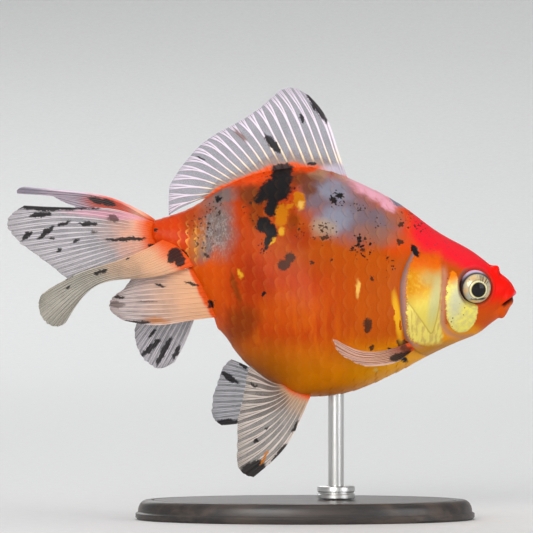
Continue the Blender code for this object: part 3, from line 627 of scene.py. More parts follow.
class Paint:
    """A material and the few ways in which this model's nodes are made."""

    def __init__(self, name, **constants):
        self.material = bpy.data.materials.new(name)
        self.material.use_nodes = True
        self.tree = self.material.node_tree
        self.shader = self.tree.nodes["Principled BSDF"]
        for socket, value in constants.items():
            self.shader.inputs[socket.replace("_", " ")].default_value = value

    def node(self, kind, settings=None, sockets=None, output=0):
        made = self.tree.nodes.new(kind)
        for name, value in (settings or {}).items():
            if name == "stops":
                self._stops(made.color_ramp, value)
            else:
                setattr(made, name, value)
        for name, value in (sockets or {}).items():
            if isinstance(value, Wire):
                self.tree.links.new(value.socket, made.inputs[name])
            else:
                made.inputs[name].default_value = value
        return Wire(self, made.outputs[output])

    @staticmethod
    def _stops(ramp, stops):
        while len(ramp.elements) < len(stops):
            ramp.elements.new(0.5)
        for element, (place, colour) in zip(ramp.elements, stops):
            element.position = place
            element.color = (*colour, 1)

    def feed(self, socket, wire):
        self.tree.links.new(wire.socket, self.shader.inputs[socket])

    def sum(self, operation, *values):
        return self.node("ShaderNodeMath", {"operation": operation}, dict(enumerate(values)))

    def vector(self, operation, *vectors, output=0):
        return self.node("ShaderNodeVectorMath", {"operation": operation}, dict(enumerate(vectors)), output)

    def place(self):
        return self.node("ShaderNodeTexCoord", output="Object")

    def attribute(self, name):
        return self.node("ShaderNodeAttribute", {"attribute_name": name}, output="Fac")

    def fish_place(self):
        """The point's (behind, left, above), in hundredths."""
        sockets = {
            "Vector": self.place(),
            "Location": (SNOUT.x / PERCENT, 0, -SNOUT.z / PERCENT),
            "Scale": (-1 / PERCENT, 1 / PERCENT, 1 / PERCENT),
        }
        return self.node("ShaderNodeMapping", {"vector_type": "POINT"}, sockets)

    def parts(self, vector):
        return [self.node("ShaderNodeSeparateXYZ", None, {0: vector}, output=i) for i in range(3)]

    def scaled(self, vector, scale, turn=(0, 0, 0)):
        return self.node("ShaderNodeMapping", None, {"Vector": vector, "Scale": scale, "Rotation": turn})

    def noise(self, vector, scale, detail=3.0, output=0):
        sockets = {"Vector": vector, "Scale": scale, "Detail": detail}
        return self.node("ShaderNodeTexNoise", None, sockets, output)

    def cells(self, vector, scale):
        return self.node("ShaderNodeTexVoronoi", None, {"Vector": vector, "Scale": scale}, "Distance")

    def wandering(self, vector, *steps):
        """The vector moved about by noise. Each step is (scale, how far)."""
        for scale, far in steps:
            swirl = self.noise(vector, scale, 2.0, output=1)
            moved = self.vector("MULTIPLY_ADD", swirl, (far, far, far), vector)
            vector = self.vector("SUBTRACT", moved, (far / 2, far / 2, far / 2))
        return vector

    def oval(self, vector, behind, above, long, short, turn=0.0, soft=0.3):
        """1 inside an oval seen from the side, 0 outside. turn raises its tailward end, in degrees.

        Vector Math is used all the way, as Mapping nodes would leave dozens of vectors waiting."""
        if turn:
            sockets = {"Vector": vector, "Center": (behind, 0, above), "Angle": math.radians(turn)}
            vector = self.node("ShaderNodeVectorRotate", {"rotation_type": "Y_AXIS"}, sockets)
        local = self.vector("MULTIPLY", vector, (1 / long, 0, 1 / short))
        centre = (behind / long, 0, above / short)
        reach = self.vector("DISTANCE", local, centre, output="Value")
        return reach.blend(1 + soft, 1 - soft)

    def any_of(self, masks):
        together = masks[0]
        for mask in masks[1:]:
            together = together.or_more(mask)
        return together

    def mix(self, factor, low, high, kind="MIX"):
        """low where the factor is 0 and high where it is 1. A plain colour is its name or three numbers."""
        colours = (COLOURS[c] if isinstance(c, str) else c for c in (low, high))
        low, high = (c if isinstance(c, Wire) else (*c, 1) for c in colours)
        settings = {"data_type": "RGBA", "blend_type": kind}
        return self.node("ShaderNodeMix", settings, {0: factor, 6: low, 7: high}, output=2)

    def bump(self, height, distance, strength):
        sockets = {"Height": height, "Distance": distance, "Strength": strength}
        return self.node("ShaderNodeBump", None, sockets)


# ------------------------------ markings

# Groups in the order that they are laid on: (colour, kind, strength, ovals). An oval is (behind, above, half
# length, half height, turn). Kinds: soft, ragged, dots.
BACK_MARKS = [
    ("slate", "ragged", 0.9, [(33.6, 25.5, 2.3, 0.85, 33)]),
    ("ridge orange", "soft", 0.95, [
        (75.9, 31.9, 8.2, 2.0, -19), (58.8, 35.4, 5.2, 1.0, 0), (68.0, 35.2, 6.0, 1.1, -3),
    ]),
]  # fmt: skip
RIGHT_MARKS = [
    ("lilac grey", "soft", 0.92, [
        (48.1, 23.0, 10.7, 7.0, 25), (39.7, 19.8, 6.4, 5.0, 20), (56.0, 27.5, 4.5, 5.2, 10),
    ]),
    ("tan", "soft", 0.55, [(38.5, 16.5, 7.0, 2.6, 12), (34.6, 21.0, 2.4, 3.2, 0)]),
    ("blue white", "soft", 0.85, [(51.6, 29.4, 5.4, 3.0, 15), (51.0, 20.6, 3.6, 5.2, 60)]),
    ("sand", "soft", 0.70, [
        (47.8, 33.0, 4.4, 1.6, 20), (55.8, 33.6, 2.6, 1.8, 0), (54.4, 18.0, 2.6, 3.6, 80),
    ]),
    ("pink", "soft", 0.95, [(40.8, 29.0, 7.6, 1.9, 29), (36.2, 25.2, 2.6, 1.4, 35)]),
    *BACK_MARKS,
    ("brown", "soft", 0.85, [
        (59.6, 32.0, 4.8, 2.2, 3), (58.4, 29.4, 2.0, 2.0, 0), (73.8, 27.2, 4.6, 2.8, 30),
    ]),
    ("umber", "soft", 0.8, [(72.6, 22.6, 2.2, 4.4, 0), (62.6, 20.0, 1.6, 3.0, 0)]),
    ("flame", "soft", 0.34, [(64.6, -4.6, 8.5, 5.5, 0)]),
    ("silver grey", "soft", 0.95, [
        (84.2, 20.0, 4.8, 8.6, -8), (82.6, 27.0, 4.0, 2.2, -20), (87.6, 13.6, 3.2, 4.4, 20),
    ]),
    ("rust", "soft", 0.65, [(90.4, 19.6, 2.8, 4.6, -20), (87.4, 23.2, 3.0, 1.4, -20)]),
    ("amber", "soft", 0.60, [(89.4, 14.4, 2.2, 4.6, 15)]),
    # The first oval is painted shade low on the hind flank; the second is a dark streak.
    ("umber", "soft", 0.80, [(77.0, -8.4, 4.4, 5.8, 35), (78.6, 1.4, 1.0, 5.0, -14)]),
    ("deep orange", "soft", 0.70, [(73.6, 4.0, 3.6, 6.0, -20), (60.6, 15.6, 4.0, 3.0, 0)]),
    ("black", "ragged", 1.0, [
        (65.8, 32.6, 2.9, 3.6, 0), (65.6, 35.2, 3.1, 1.8, 0), (67.6, 28.9, 4.6, 3.2, -6),
        (71.4, 26.8, 2.2, 1.3, -30), (68.6, 24.2, 1.8, 3.0, 10), (71.0, 19.2, 1.9, 2.3, 15),
        (69.0, 17.4, 1.9, 2.3, -20), (51.3, 26.0, 1.3, 0.8, 30), (49.7, 27.3, 1.0, 0.6, -30),
        (69.9, 14.6, 0.9, 2.4, 10), (28.9, 12.1, 0.75, 1.7, -22), (94.0, 10.0, 2.0, 2.1, 20),
        (83.6, 26.6, 1.0, 0.9, 0), (101.7, 13.4, 1.2, 0.7, 0), (100.8, 17.9, 0.6, 0.6, 0),
        (85.6, -2.8, 1.1, 1.3, 0), (70.8, 0.0, 0.65, 0.8, 30), (57.4, 36.0, 0.8, 0.7, 0),
        (33.6, -17.0, 3.4, 0.9, 33), (91.8, 26.0, 1.6, 0.4, -28),
    ]),
    ("sooty", "ragged", 0.92, [
        (65.4, 8.0, 1.9, 1.5, -20), (63.5, 10.0, 1.5, 1.6, 30), (42.2, -8.6, 1.25, 2.1, 0),
        (52.1, 9.6, 0.35, 0.6, 0), (57.5, 8.8, 0.6, 0.35, -30), (41.2, -14.9, 0.7, 0.8, 0),
        (33.0, 14.4, 0.9, 0.8, 0), (32.7, 19.4, 0.8, 0.7, 0), (40.8, 4.3, 0.45, 0.9, 0),
        (46.4, 12.3, 0.5, 0.9, 20), (44.2, 14.6, 0.45, 1.9, 10), (43.3, 12.2, 0.8, 0.4, 0),
        (31.8, -14.1, 2.2, 1.4, 20), (54.8, 17.6, 0.5, 0.4, 0), (86.8, 10.6, 0.7, 0.7, 0),
    ]),
    ("black", "dots", 1.0, [
        (50.6, 26.4, 2.6, 2.8, 40), (69.6, 21.6, 4.2, 5.0, 60), (67.6, 28.5, 6.2, 6.2, 0),
        (69.8, 13.6, 2.6, 3.6, 70), (36.0, 7.6, 1.6, 3.8, -10), (43.6, 13.4, 3.2, 4.2, 0),
        (50.8, 26.6, 2.4, 2.0, 30), (66.2, 36.0, 4.4, 1.3, 0),
    ]),
    ("sooty", "dots", 0.9, [
        (54.2, 17.4, 3.6, 4.4, 20), (44.2, 23.6, 3.0, 2.0, 0), (38.6, 19.6, 2.2, 2.0, 0),
        (60.4, 18.0, 2.6, 2.6, 0), (28.6, 20.0, 5.0, 3.0, 30), (88.4, 17.0, 4.0, 6.0, 0),
        (84.6, 24.0, 3.0, 3.0, 0), (74.0, 24.6, 3.0, 3.4, 0),
    ]),
    ("amber", "ragged", 1.0, [
        (66.0, 21.8, 1.8, 3.1, 5), (60.8, 26.0, 1.6, 2.5, -12), (63.6, 24.4, 1.2, 0.9, -25),
    ]),
    # The last oval, low on the fore belly, is a painted glint.
    ("pale amber", "soft", 1.0, [
        (60.3, 24.8, 0.8, 1.4, -12), (45.0, 1.6, 0.7, 2.0, 6), (39.4, -21.1, 0.9, 0.5, 25),
    ]),
    ("yellow", "soft", 0.8, [
        (77.4, 5.8, 0.55, 1.6, -18), (68.4, 14.4, 0.4, 1.3, 30), (65.6, 17.4, 0.8, 1.2, 0),
    ]),
]  # fmt: skip
LEFT_MARKS = [
    ("lilac grey", "soft", 0.90, [
        (44.5, 24.5, 8.0, 5.0, 28), (79.0, 22.0, 7.0, 5.4, -20), (59.0, 28.0, 5.5, 4.0, 0),
    ]),
    ("blue white", "soft", 0.80, [(52.0, 29.6, 5.4, 2.6, 15), (81.4, 15.6, 4.6, 3.0, -40)]),
    ("pink", "soft", 0.95, [(40.8, 29.0, 7.6, 1.9, 29)]),
    *BACK_MARKS,
    ("brown", "soft", 0.80, [(60.4, 31.6, 6.0, 2.2, 3)]),
    # The first oval is painted shade low on the hind flank.
    ("umber", "soft", 0.7, [(76.0, -8.0, 4.2, 5.2, 35), (52.0, -14.0, 4.6, 2.6, 20)]),
    ("sand", "soft", 0.60, [(38.0, 18.0, 4.0, 3.0, 0)]),
    ("black", "ragged", 1.0, [
        (65.8, 33.4, 2.8, 2.6, 0), (66.4, 36.2, 2.6, 2.0, 0), (62.8, 28.8, 3.6, 2.0, 30),
        (59.8, 26.0, 1.5, 2.3, -20), (64.8, 30.8, 3.0, 1.4, 10), (78.4, 25.6, 3.2, 1.7, -34),
        (75.8, 22.6, 1.6, 3.0, 14), (80.6, 21.6, 1.0, 1.4, 0), (45.9, 14.4, 1.6, 2.4, 36),
        (44.6, 11.0, 0.9, 1.8, -10), (54.8, 5.0, 0.7, 1.7, 18), (53.6, 3.0, 1.2, 0.8, 0),
        (28.9, 12.1, 0.75, 1.7, -22), (96.6, 15.8, 2.2, 0.9, 16), (94.8, 14.2, 1.1, 1.2, 0),
        (72.6, 7.8, 0.5, 1.1, 20), (84.6, 8.6, 1.0, 0.5, 20), (36.8, 4.6, 0.4, 1.0, 0),
        (69.8, -12.4, 0.7, 1.1, 0),
    ]),
    ("sooty", "ragged", 0.92, [
        (68.6, 16.8, 2.0, 1.2, 36), (66.6, 14.6, 1.1, 1.4, 0), (41.4, -7.6, 0.8, 1.5, 0),
        (58.6, -9.0, 1.4, 0.6, 24),
    ]),
    ("black", "dots", 1.0, [
        (62.0, 27.0, 6.0, 5.0, 20), (77.0, 21.0, 5.0, 6.0, 0), (45.0, 12.0, 4.4, 5.4, 0),
    ]),
    ("sooty", "dots", 0.9, [
        (40.0, 22.0, 4.0, 4.0, 0), (56.0, 14.0, 6.0, 6.0, 0), (30.0, 19.0, 5.0, 3.0, 30),
    ]),
    ("amber", "ragged", 1.0, [(51.2, 20.0, 1.5, 2.4, 0), (70.6, -6.0, 1.3, 2.0, 10)]),
    ("pale amber", "soft", 1.0, [(47.0, -2.0, 0.7, 2.0, 6), (62.0, 12.0, 0.8, 1.6, 0)]),
]  # fmt: skip
EDGE_SOFTNESS = {"soft": 0.55, "ragged": 0.16, "dots": 0.5}
NOWHERE = (200, 0, 1, 1)  # an oval far behind the fish


def marked(paint, colour, places, marks):
    """Lays the groups of marks over a colour, and says where the pigment lies thick."""
    thick = paint.oval(places["soft"], *NOWHERE)
    for name, kind, strength, ovals in marks:
        mask = paint.any_of([paint.oval(places[kind], *oval, soft=EDGE_SOFTNESS[kind]) for oval in ovals])
        if kind == "dots":
            mask = (mask * places["size"] - places["cell"]).blend(-0.06, 0.06)
        colour = paint.mix(mask * strength, colour, name)
        if kind != "soft":
            thick = thick.or_more(mask)
    return colour, thick


def mark_places(paint, at):
    """The places moved about by noise, more finely for ragged marks, and the cells that dots sit in."""
    return {
        "soft": paint.wandering(at, (0.16, 3.0), (0.7, 1.6)),
        "ragged": paint.wandering(at, (0.45, 1.8), (1.5, 1.6), (5.0, 0.7)),
        "dots": paint.wandering(at, (0.5, 1.2)),
        "cell": paint.cells(paint.wandering(at, (1.2, 0.6), (4.0, 0.35)), 1.15),
        "size": paint.noise(at, 0.8, 3).blend(0.36, 0.68) * 0.62,
    }


# ------------------------------ finishes


def body_colour(paint, at, places, settings):
    """The orange ground, from crimson crown to yellow belly, with painted shade low on the hind belly and
    flank, and both sides' markings laid over it.
    """
    _, left, _ = paint.parts(at)
    soft = places["soft"]
    behind, _, above = paint.parts(soft)
    streaks = paint.noise(paint.scaled(at, (1.5, 1.0, 0.20)), 0.55, 4).blend(0.46, 0.74)
    flames = paint.noise(paint.scaled(at, (1.2, 1.0, 0.17), (0, 0.12, 0)), 0.40, 5).blend(0.45, 0.66)
    colour = paint.mix(streaks * 0.5, settings.orange, "deep orange")
    colour = paint.mix(flames * above.blend(8, -12) * 0.6, colour, "flame")
    colour = paint.mix(behind.blend(60, 40) * 0.8, colour, settings.front_orange)
    colour = paint.mix(paint.oval(soft, 58, 15, 14, 8, 8, 0.7) * 0.75, colour, "flank shade")
    colour = paint.mix(behind.blend(78, 86) * 0.85, colour, "hind orange")
    colour = paint.mix(above.blend(-9, -23), colour, settings.belly)
    # Painted shade: darker low on the hind belly.
    colour = paint.mix(behind.blend(52, 76) * above.blend(-9, -22) * 0.75, colour, "hind belly")
    colour = paint.mix(behind.blend(52, 32) * above.blend(-11, -19), colour, "front belly")
    colour = paint.mix(behind.blend(40, 34) * above.blend(8, 14), colour, "shoulder orange")
    colour = paint.mix(behind.blend(88.5, 93.5), colour, "tail orange")
    crown = (above - behind * 0.52).blend(-3.4, 1.0)
    colour = paint.mix(crown * behind.blend(33, 27), colour, settings.crimson)

    right, thick_right = marked(paint, colour, places, RIGHT_MARKS)
    left_side, thick_left = marked(paint, colour, places, LEFT_MARKS)
    on_left = left.blend(-0.8, 0.8)
    colour = paint.mix(on_left, right, left_side)
    thick = thick_right * (1 - on_left) + thick_left * on_left
    # Pale threads run through the silvery patch before the tail.
    threads = (paint.noise(paint.scaled(places["dots"], (1.5, 1.0, 0.55)), 0.9, 4) - 0.52).hump(0.055)
    patch = paint.oval(soft, 84.2, 17.0, 4.4, 6.4, 10, 0.6)
    return paint.mix(threads * patch * 0.4, colour, "pale thread"), thick


def fish_paint(name, settings, with_head):
    """The painted skin. The scales take the same paint without the head's parts."""
    paint = Paint(name, Coat_Weight=0.05, Coat_Roughness=0.22, IOR=1.34, Specular_IOR_Level=0.12)
    at = paint.fish_place()
    places = mark_places(paint, at)
    colour, thick = body_colour(paint, at, places, settings)
    shine = paint.oval(places["soft"], 63.5, 24.0, 4.6, 5.0, 0, 0.2) * 0.25
    if with_head:
        colour, shine = head_paint(paint, at, colour, shine)
    else:
        tone, rim = paint.attribute("tone"), paint.attribute("rim")
        colour = paint.mix((tone - 0.5).or_more(0) * 0.35, colour, "scale shade", "MULTIPLY")
        gold = paint.oval(places["soft"], 91.0, 13.7, 4.0, 6.0, 0, 0.6).or_more(0.10) * (1 - thick * 0.8)
        colour = paint.mix(rim * gold * 0.8, colour, "scale rim")
        shine = shine.or_more(rim * gold * 0.3)
    paint.feed("Base Color", colour)
    paint.feed("Metallic", shine)
    paint.feed("Roughness", paint.noise(at, 0.35, 3) * 0.16 + 0.34)
    grain = paint.noise(at, 5.0, 3) * 0.5 + paint.noise(at, 1.4, 3)
    paint.feed("Normal", paint.bump(grain, 0.00006, 0.6))
    return paint.material


def head_paint(paint, at, colour, shine):
    """Face, cheek and gill cover, painted by the distances that the skin's points carry."""
    line = {name: paint.attribute(name) for name in HEAD_ATTRIBUTES}
    wobble = paint.noise(at, 0.9, 4) - 0.5
    fine = paint.noise(at, 3.0, 3) - 0.5
    near = paint.parts(paint.wandering(at, (0.3, 1.6), (1.4, 0.7)))
    plate = line["plate"] + fine * 1.4 + (paint.noise(at, 1.5, 2) - 0.5) * 1.6
    cover = line["cover"] + wobble * 0.25
    on_cover = cover.blend(-0.05, 0.12)
    colour = face_colour(paint, near, on_cover, colour)
    colour, gilt = cover_colour(paint, at, near, line, plate, wobble, colour)
    colour, inside = cheek_colour(paint, at, near, line, fine, wobble, colour)
    gilt = gilt.or_more(inside)
    colour = cover_edge_colour(paint, at, near, plate, cover, on_cover, colour)
    colour = mouth_colour(paint, near, line, colour)
    colour = eye_and_nostril_colour(paint, at, near, line, colour)
    return freckled(paint, at, colour), shine.or_more(gilt * 0.25)


def face_colour(paint, near, on_cover, colour):
    behind, _, above = near
    face = behind.blend(17, 12.5) * above.blend(6.5, 2.5)
    colour = paint.mix(face, colour, "face orange")
    colour = paint.mix(face * above.blend(-1.0, -7.0) * 0.8, colour, "low face")
    colour = paint.mix(behind.blend(10.5, 6.5) * above.blend(-3.5, 0.5), colour, "snout red")
    throat = above.blend(-7.5, -10.5) * behind.blend(8.5, 12.0) * behind.blend(34, 30)
    colour = paint.mix(throat * on_cover, colour, "throat gold")
    # Painted shade: the throat is darker on its underside.
    return paint.mix(above.blend(-12.0, -14.6) * behind.blend(11, 15) * on_cover, colour, "throat ochre")


def cover_colour(paint, at, near, line, plate, wobble, colour):
    """The golden plates of the gill cover, and where they shine."""
    behind, _, above = near
    hind = (behind + wobble * 1.6).blend(20.4, 22.2) * plate.blend(-0.05, 0.1) * above.blend(-15.0, -13.0)
    gold = paint.mix(wobble.blend(-0.12, 0.2), "deep gold", "gold")
    gold = paint.mix((above + behind * 0.35 + wobble * 5).blend(12.0, 5.0), gold, "lemon gold")
    gold = paint.mix(paint.oval(at, 24.6, 4.4, 2.6, 2.2, 0, 0.7) * 0.7, gold, "dull gold")
    gold = paint.mix(paint.oval(at, 23.2, -1.4, 6.6, 1.5, 100, 0.7) * 0.75, gold, "green gold")
    veins = paint.noise(paint.scaled(at, (1.6, 1.0, 0.35), (0, 0.6, 0)), 0.8, 3).blend(0.42, 0.62)
    gold = paint.mix(line["lower"].blend(0.1, -0.3), gold, paint.mix(veins, "straw", "dark straw"))
    # Painted shade in the crease along the lower plate's edge.
    gold = paint.mix(line["lower"].hump(0.34) * 0.55, gold, "plate seam")
    gold = paint.mix((above + wobble * 5).blend(4.5, 9.0), gold, "cover orange")
    colour = paint.mix(hind * (above + wobble * 3).blend(13.0, 8.5), colour, gold)
    return colour, hind * above.blend(9.0, 4.0)


def cheek_colour(paint, at, near, line, fine, wobble, colour):
    """The brown groove behind the cheek and its pale yellow plate, and where the plate shines."""
    _, _, above = near
    groove = (line["groove"] + wobble * 0.4).hump(1.5) * above.blend(9.0, 5.5) * above.blend(-14.0, -11.0)
    colour = paint.mix(groove * 0.85, colour, "groove brown")
    inside = (line["cheek"] + fine * 0.9 + wobble * 0.8).blend(-0.1, 0.4)
    pale = paint.mix(wobble.blend(-0.15, 0.15), "cheek straw", "cheek lemon")
    pale = paint.mix(above.blend(1.5, 5.5), pale, "cheek orange")
    pale = paint.mix(paint.oval(at, 17.4, -2.0, 5.0, 1.8, 100, 0.7) * 0.75, pale, "cheek silver")
    return paint.mix(inside, colour, pale), inside * above.blend(3.5, 0.0)


def cover_edge_colour(paint, at, near, plate, cover, on_cover, colour):
    """The plates' dark rim, the mauve membrane behind it, the gold crescent on the body and the top spot."""
    behind, _, above = near
    rim = (plate + 0.05).hump(0.42) * above.blend(11.0, 8.0) * above.blend(-14, -12)
    colour = paint.mix(rim * 0.6, colour, "plate rim")
    membrane = on_cover * plate.blend(-0.05, -0.35) * above.blend(13.5, 11.5) * above.blend(-16, -13.5)
    mauve = paint.mix(cover.blend(0.0, 1.6), "edge shade", "edge mauve")
    colour = paint.mix(membrane * behind.blend(24.5, 28.0), colour, mauve)
    crescent = paint.oval(at, 33.9, -6.0, 6.5, 1.0, 82, 0.5) * (1 - on_cover)
    colour = paint.mix(crescent * 0.9, colour, "crescent gold")
    top_spot = paint.oval(paint.wandering(at, (1.6, 0.9)), 28.9, 12.0, 2.0, 0.75, 62, 0.2)
    return paint.mix(top_spot, colour, "black")


def mouth_colour(paint, near, line, colour):
    behind, _, _ = near
    mouth = line["mouth"]
    front = behind.blend(MOUTH_CORNER + 0.8, MOUTH_CORNER - 0.4)
    colour = paint.mix(mouth.blend(0.1, -0.5) * behind.blend(8.0, 5.0), colour, "jaw orange")
    lip = front * (mouth - 0.5).hump(1.5) * behind.blend(1.4, 0.5)
    colour = paint.mix(lip * 0.85, colour, "lip pink")
    # Painted shade in the mouth's slit.
    return paint.mix(front * (mouth + 0.1).hump(0.85), colour, "mouth dark")


def eye_and_nostril_colour(paint, at, near, line, colour):
    behind, _, _ = near
    shade = (line["eye"] - 5.5).hump(0.6) * behind.blend(EYE[0] + 0.5, EYE[0] + 3.5)
    colour = paint.mix(shade * 0.85, colour, "lid shade")
    colour = paint.mix((line["eye"] - 5.0).hump(0.7) * 0.5, colour, "lid brown")
    # Painted shade in the pits on either side of each nostril's flap.
    holes = [(NOSTRIL[0] - 1.4, NOSTRIL[2] - 1.0), (NOSTRIL[0] + 1.2, NOSTRIL[2] + 0.9)]
    pits = paint.any_of([paint.oval(at, *hole, 0.50, 0.42, 30, 0.5) for hole in holes])
    _, aside, _ = paint.parts(at)
    pits = pits * (aside.size() - NOSTRIL[1] - 0.3).hump(0.7)
    return paint.mix(pits * 0.6, colour, "nostril dark")


def freckled(paint, at, colour):
    """Red freckles on the crown and a few brown ones on the cheek."""
    crown = (paint.oval(at, 22.0, 14.0, 8.0, 4.0, 28, 0.5) * 0.22 - paint.cells(at, 0.7)).blend(-0.05, 0.05)
    colour = paint.mix(crown * 0.5, colour, "red freckle")
    cheek = (paint.oval(at, 18.0, -2.0, 4.0, 9.0, 0, 0.4) * 0.17 - paint.cells(at, 0.7)).blend(-0.03, 0.03)
    return paint.mix(cheek * 0.8, colour, "brown freckle")


def gaze(side):
    """Where an eye looks: out to its side, a little forward and down."""
    level = math.cos(GAZE_DOWN)
    forward, out = math.sin(GAZE_FORWARD) * level, math.cos(GAZE_FORWARD) * level
    return Vector((forward, side * out, -math.sin(GAZE_DOWN)))


def eye_paint(settings):
    """A silver iris with gold flecks round a black pupil, with a lilac highlight painted on the globe's top
    rear, the same for both eyes.
    """
    paint = Paint("eye silver and black", Roughness=0.30, Coat_Weight=0.3, Coat_Roughness=0.03, IOR=1.30,
                  Specular_IOR_Level=0.2)  # fmt: skip
    sockets = {
        "Vector": paint.vector("ABSOLUTE", paint.place()),
        "Location": Vector(in_metres(EYE)),
        "Rotation": gaze(1).to_track_quat("Z", "Y").to_euler(),
        "Scale": (settings.iris, settings.iris, 1e3),  # so that the depth counts for nothing
    }
    local = paint.node("ShaderNodeMapping", {"vector_type": "TEXTURE"}, sockets)
    reach = paint.vector("LENGTH", local, output="Value")
    hind, up, _ = paint.parts(local)
    flecks = paint.noise(paint.place(), 1500, 4)
    clouds = paint.noise(paint.place(), 420, 3)
    colour = paint.node("ShaderNodeValToRGB", {"stops": IRIS_STOPS}, {0: reach * 0.78})
    iris = reach.blend(0.66, 0.70) * reach.blend(0.97, 0.93)
    colour = paint.mix(iris * flecks.blend(0.56, 0.66) * 0.6, colour, "iris brown")
    colour = paint.mix(iris * clouds.blend(0.5, 0.62) * 0.7, colour, "iris gold")
    colour = paint.mix(iris * clouds.blend(0.48, 0.38) * 0.7, colour, "iris green")
    blot = (up + 0.62).hump(0.17) * reach.blend(0.52, 0.60) * reach.blend(0.95, 0.75)
    colour = paint.mix(blot * clouds.blend(0.40, 0.48), colour, "black")
    # Painted highlight: lilac on the top rear of the globe, outside the iris.
    painted_highlight = reach.blend(1.0, 1.12) * up.blend(0.35, 0.95) * hind.blend(-0.75, -0.2)
    colour = paint.mix(painted_highlight * 0.95, colour, "eye lilac")
    rays = paint.vector("MULTIPLY", paint.vector("NORMALIZE", local), (14, 14, 1))
    streaks = paint.noise(rays, 1.0, 2).blend(0.50, 0.58) * hind.blend(0.15, -0.15) * up.blend(0.25, 0.45)
    streaks = streaks * reach.blend(0.52, 0.62) * reach.blend(0.98, 0.86)
    colour = paint.mix(streaks * 0.9, colour, "iris streak")
    paint.feed("Base Color", colour)
    paint.feed("Metallic", iris * 0.35)
    return paint.material


def ray_pattern(paint, across, along, count):
    """1 along the middle of each bony ray, 0 on the web between: the same forks as the blades' ridges."""
    beside = ((across * count).fraction() - 0.5).size()
    for width, start, end in FORKS:
        beside = (beside - along.blend(start, end) * width).size()
    rays = (beside / (RAY_ROOT - along * RAY_TAPER)).blend(1.3, 0.5)
    return rays.or_more((across * count).blend(0.45, 0.15))


def fin_paint(name, fin):
    """Pale rays and a thinner, clearer web, flushed at the root, under the fin's own marks."""
    paint = Paint(name.replace("_", " ") + " rays and web", Roughness=0.36, Specular_IOR_Level=0.22)
    at = paint.fish_place()
    across, along, _ = paint.parts(paint.node("ShaderNodeUVMap", {"uv_map": "OFBake"}))
    along = along * (1 + fin["sunk"]) - fin["sunk"]
    rays = ray_pattern(paint, across, along, fin["count"])
    clouds = paint.noise(at, 0.25, 3)
    web = paint.mix(clouds.blend(0.35, 0.65), fin["web"], tuple(c * WEB_SHADE for c in fin["web"]))
    ray = paint.mix(along.blend(0.05, 0.45), fin["ray_root"] or fin["ray"], fin["ray"])
    colour = paint.mix(rays * (along.blend(1.15, 0.5) * 0.35 + 0.65), web, ray)
    drift = along + (clouds - 0.5) * 0.25
    foot = along + (clouds - 0.5) * 0.08
    colour = paint.mix(drift.blend(fin["flush_reach"], 0.02), colour, fin["flush"])
    colour = paint.mix(foot.blend(fin["root_reach"], 0.0), colour, fin["root"])
    places = {
        "soft": paint.wandering(at, (0.5, 1.4)),
        "ragged": paint.wandering(at, (0.6, 1.6), (2.2, 1.1), (6.0, 0.45)),
    }
    colour, thick = marked(paint, colour, places, fin["marks"])
    tint = paint.mix(1 - rays * 0.18, (1.25, 1.22, 1.25), (1.0, 1.0, 1.0))
    paint.feed("Base Color", paint.mix(1.0, colour, tint, "MULTIPLY"))
    solid = rays.or_more(drift.blend(fin["flush_reach"], 0.0)).or_more(thick * 0.95)
    paint.feed("Alpha", (solid * (1 - fin["web_alpha"]) + fin["web_alpha"]).or_less(1.0))
    joints = (along * fin["joints"]).fraction().blend(0.25, 0.0) * rays
    paint.feed("Normal", paint.bump(rays + joints * 0.25 + paint.noise(at, 2.2, 2) * 0.12, 0.00008, 0.6))
    return paint.material


def wood_paint():
    """Black-stained wood: long grain that shows as faint warm streaks under a satin varnish."""
    paint = Paint("black stained wood", Coat_Weight=0.35, Coat_Roughness=0.25)
    stretched = paint.scaled(paint.place(), (18, 160, 160))
    grain = paint.noise(paint.wandering(stretched, (0.4, 1.0)), 2.2, 6)
    pores = paint.noise(paint.scaled(paint.place(), (90, 1400, 1400)), 1.0, 3)
    colour = paint.mix(grain.blend(0.35, 0.7), "stained wood", "warm grain")
    paint.feed("Base Color", paint.mix(pores.blend(0.62, 0.72) * 0.6, colour, "wood pore"))
    paint.feed("Roughness", grain * 0.25 + 0.36)
    paint.feed("Normal", paint.bump(grain * 0.5 - pores.blend(0.60, 0.74) * 0.5, 0.00005, 0.6))
    return paint.material


def steel_paint(name, brushed):
    """Satin steel, brushed round or along by noise drawn out one way."""
    paint = Paint(name, Metallic=1.0)
    lines = paint.noise(paint.scaled(paint.place(), brushed), 1.0, 4)
    paint.feed("Base Color", paint.mix(lines.blend(0.3, 0.7), "steel", "bright steel"))
    paint.feed("Roughness", lines * 0.22 + 0.20)
    paint.feed("Normal", paint.bump(lines, 0.00002, 0.5))
    return paint.material


def studio_paint(colour):
    paint = Paint("pale studio paper", Roughness=0.9)
    grain = paint.noise(paint.place(), 300, 3)
    darker = tuple(c * 0.97 for c in colour)
    paint.feed("Base Color", paint.mix(grain.blend(0.3, 0.7), colour, darker))
    return paint.material


# ------------------------------ fins' own tones and marks

FORKS = ((0.18, 0.30, 0.95), (0.09, 0.58, 1.05))  # half spread of the fork, where it starts, where it is full
RAY_ROOT, RAY_TAPER = 0.15, 0.085  # half width of a ray at its root, and how much narrower its tip is
WEB_SHADE = 0.72  # how dark the web's clouds are

PEACH = (0.82, 0.42, 0.28)
MILK = (0.60, 0.555, 0.58)
ASH = (0.29, 0.27, 0.29)


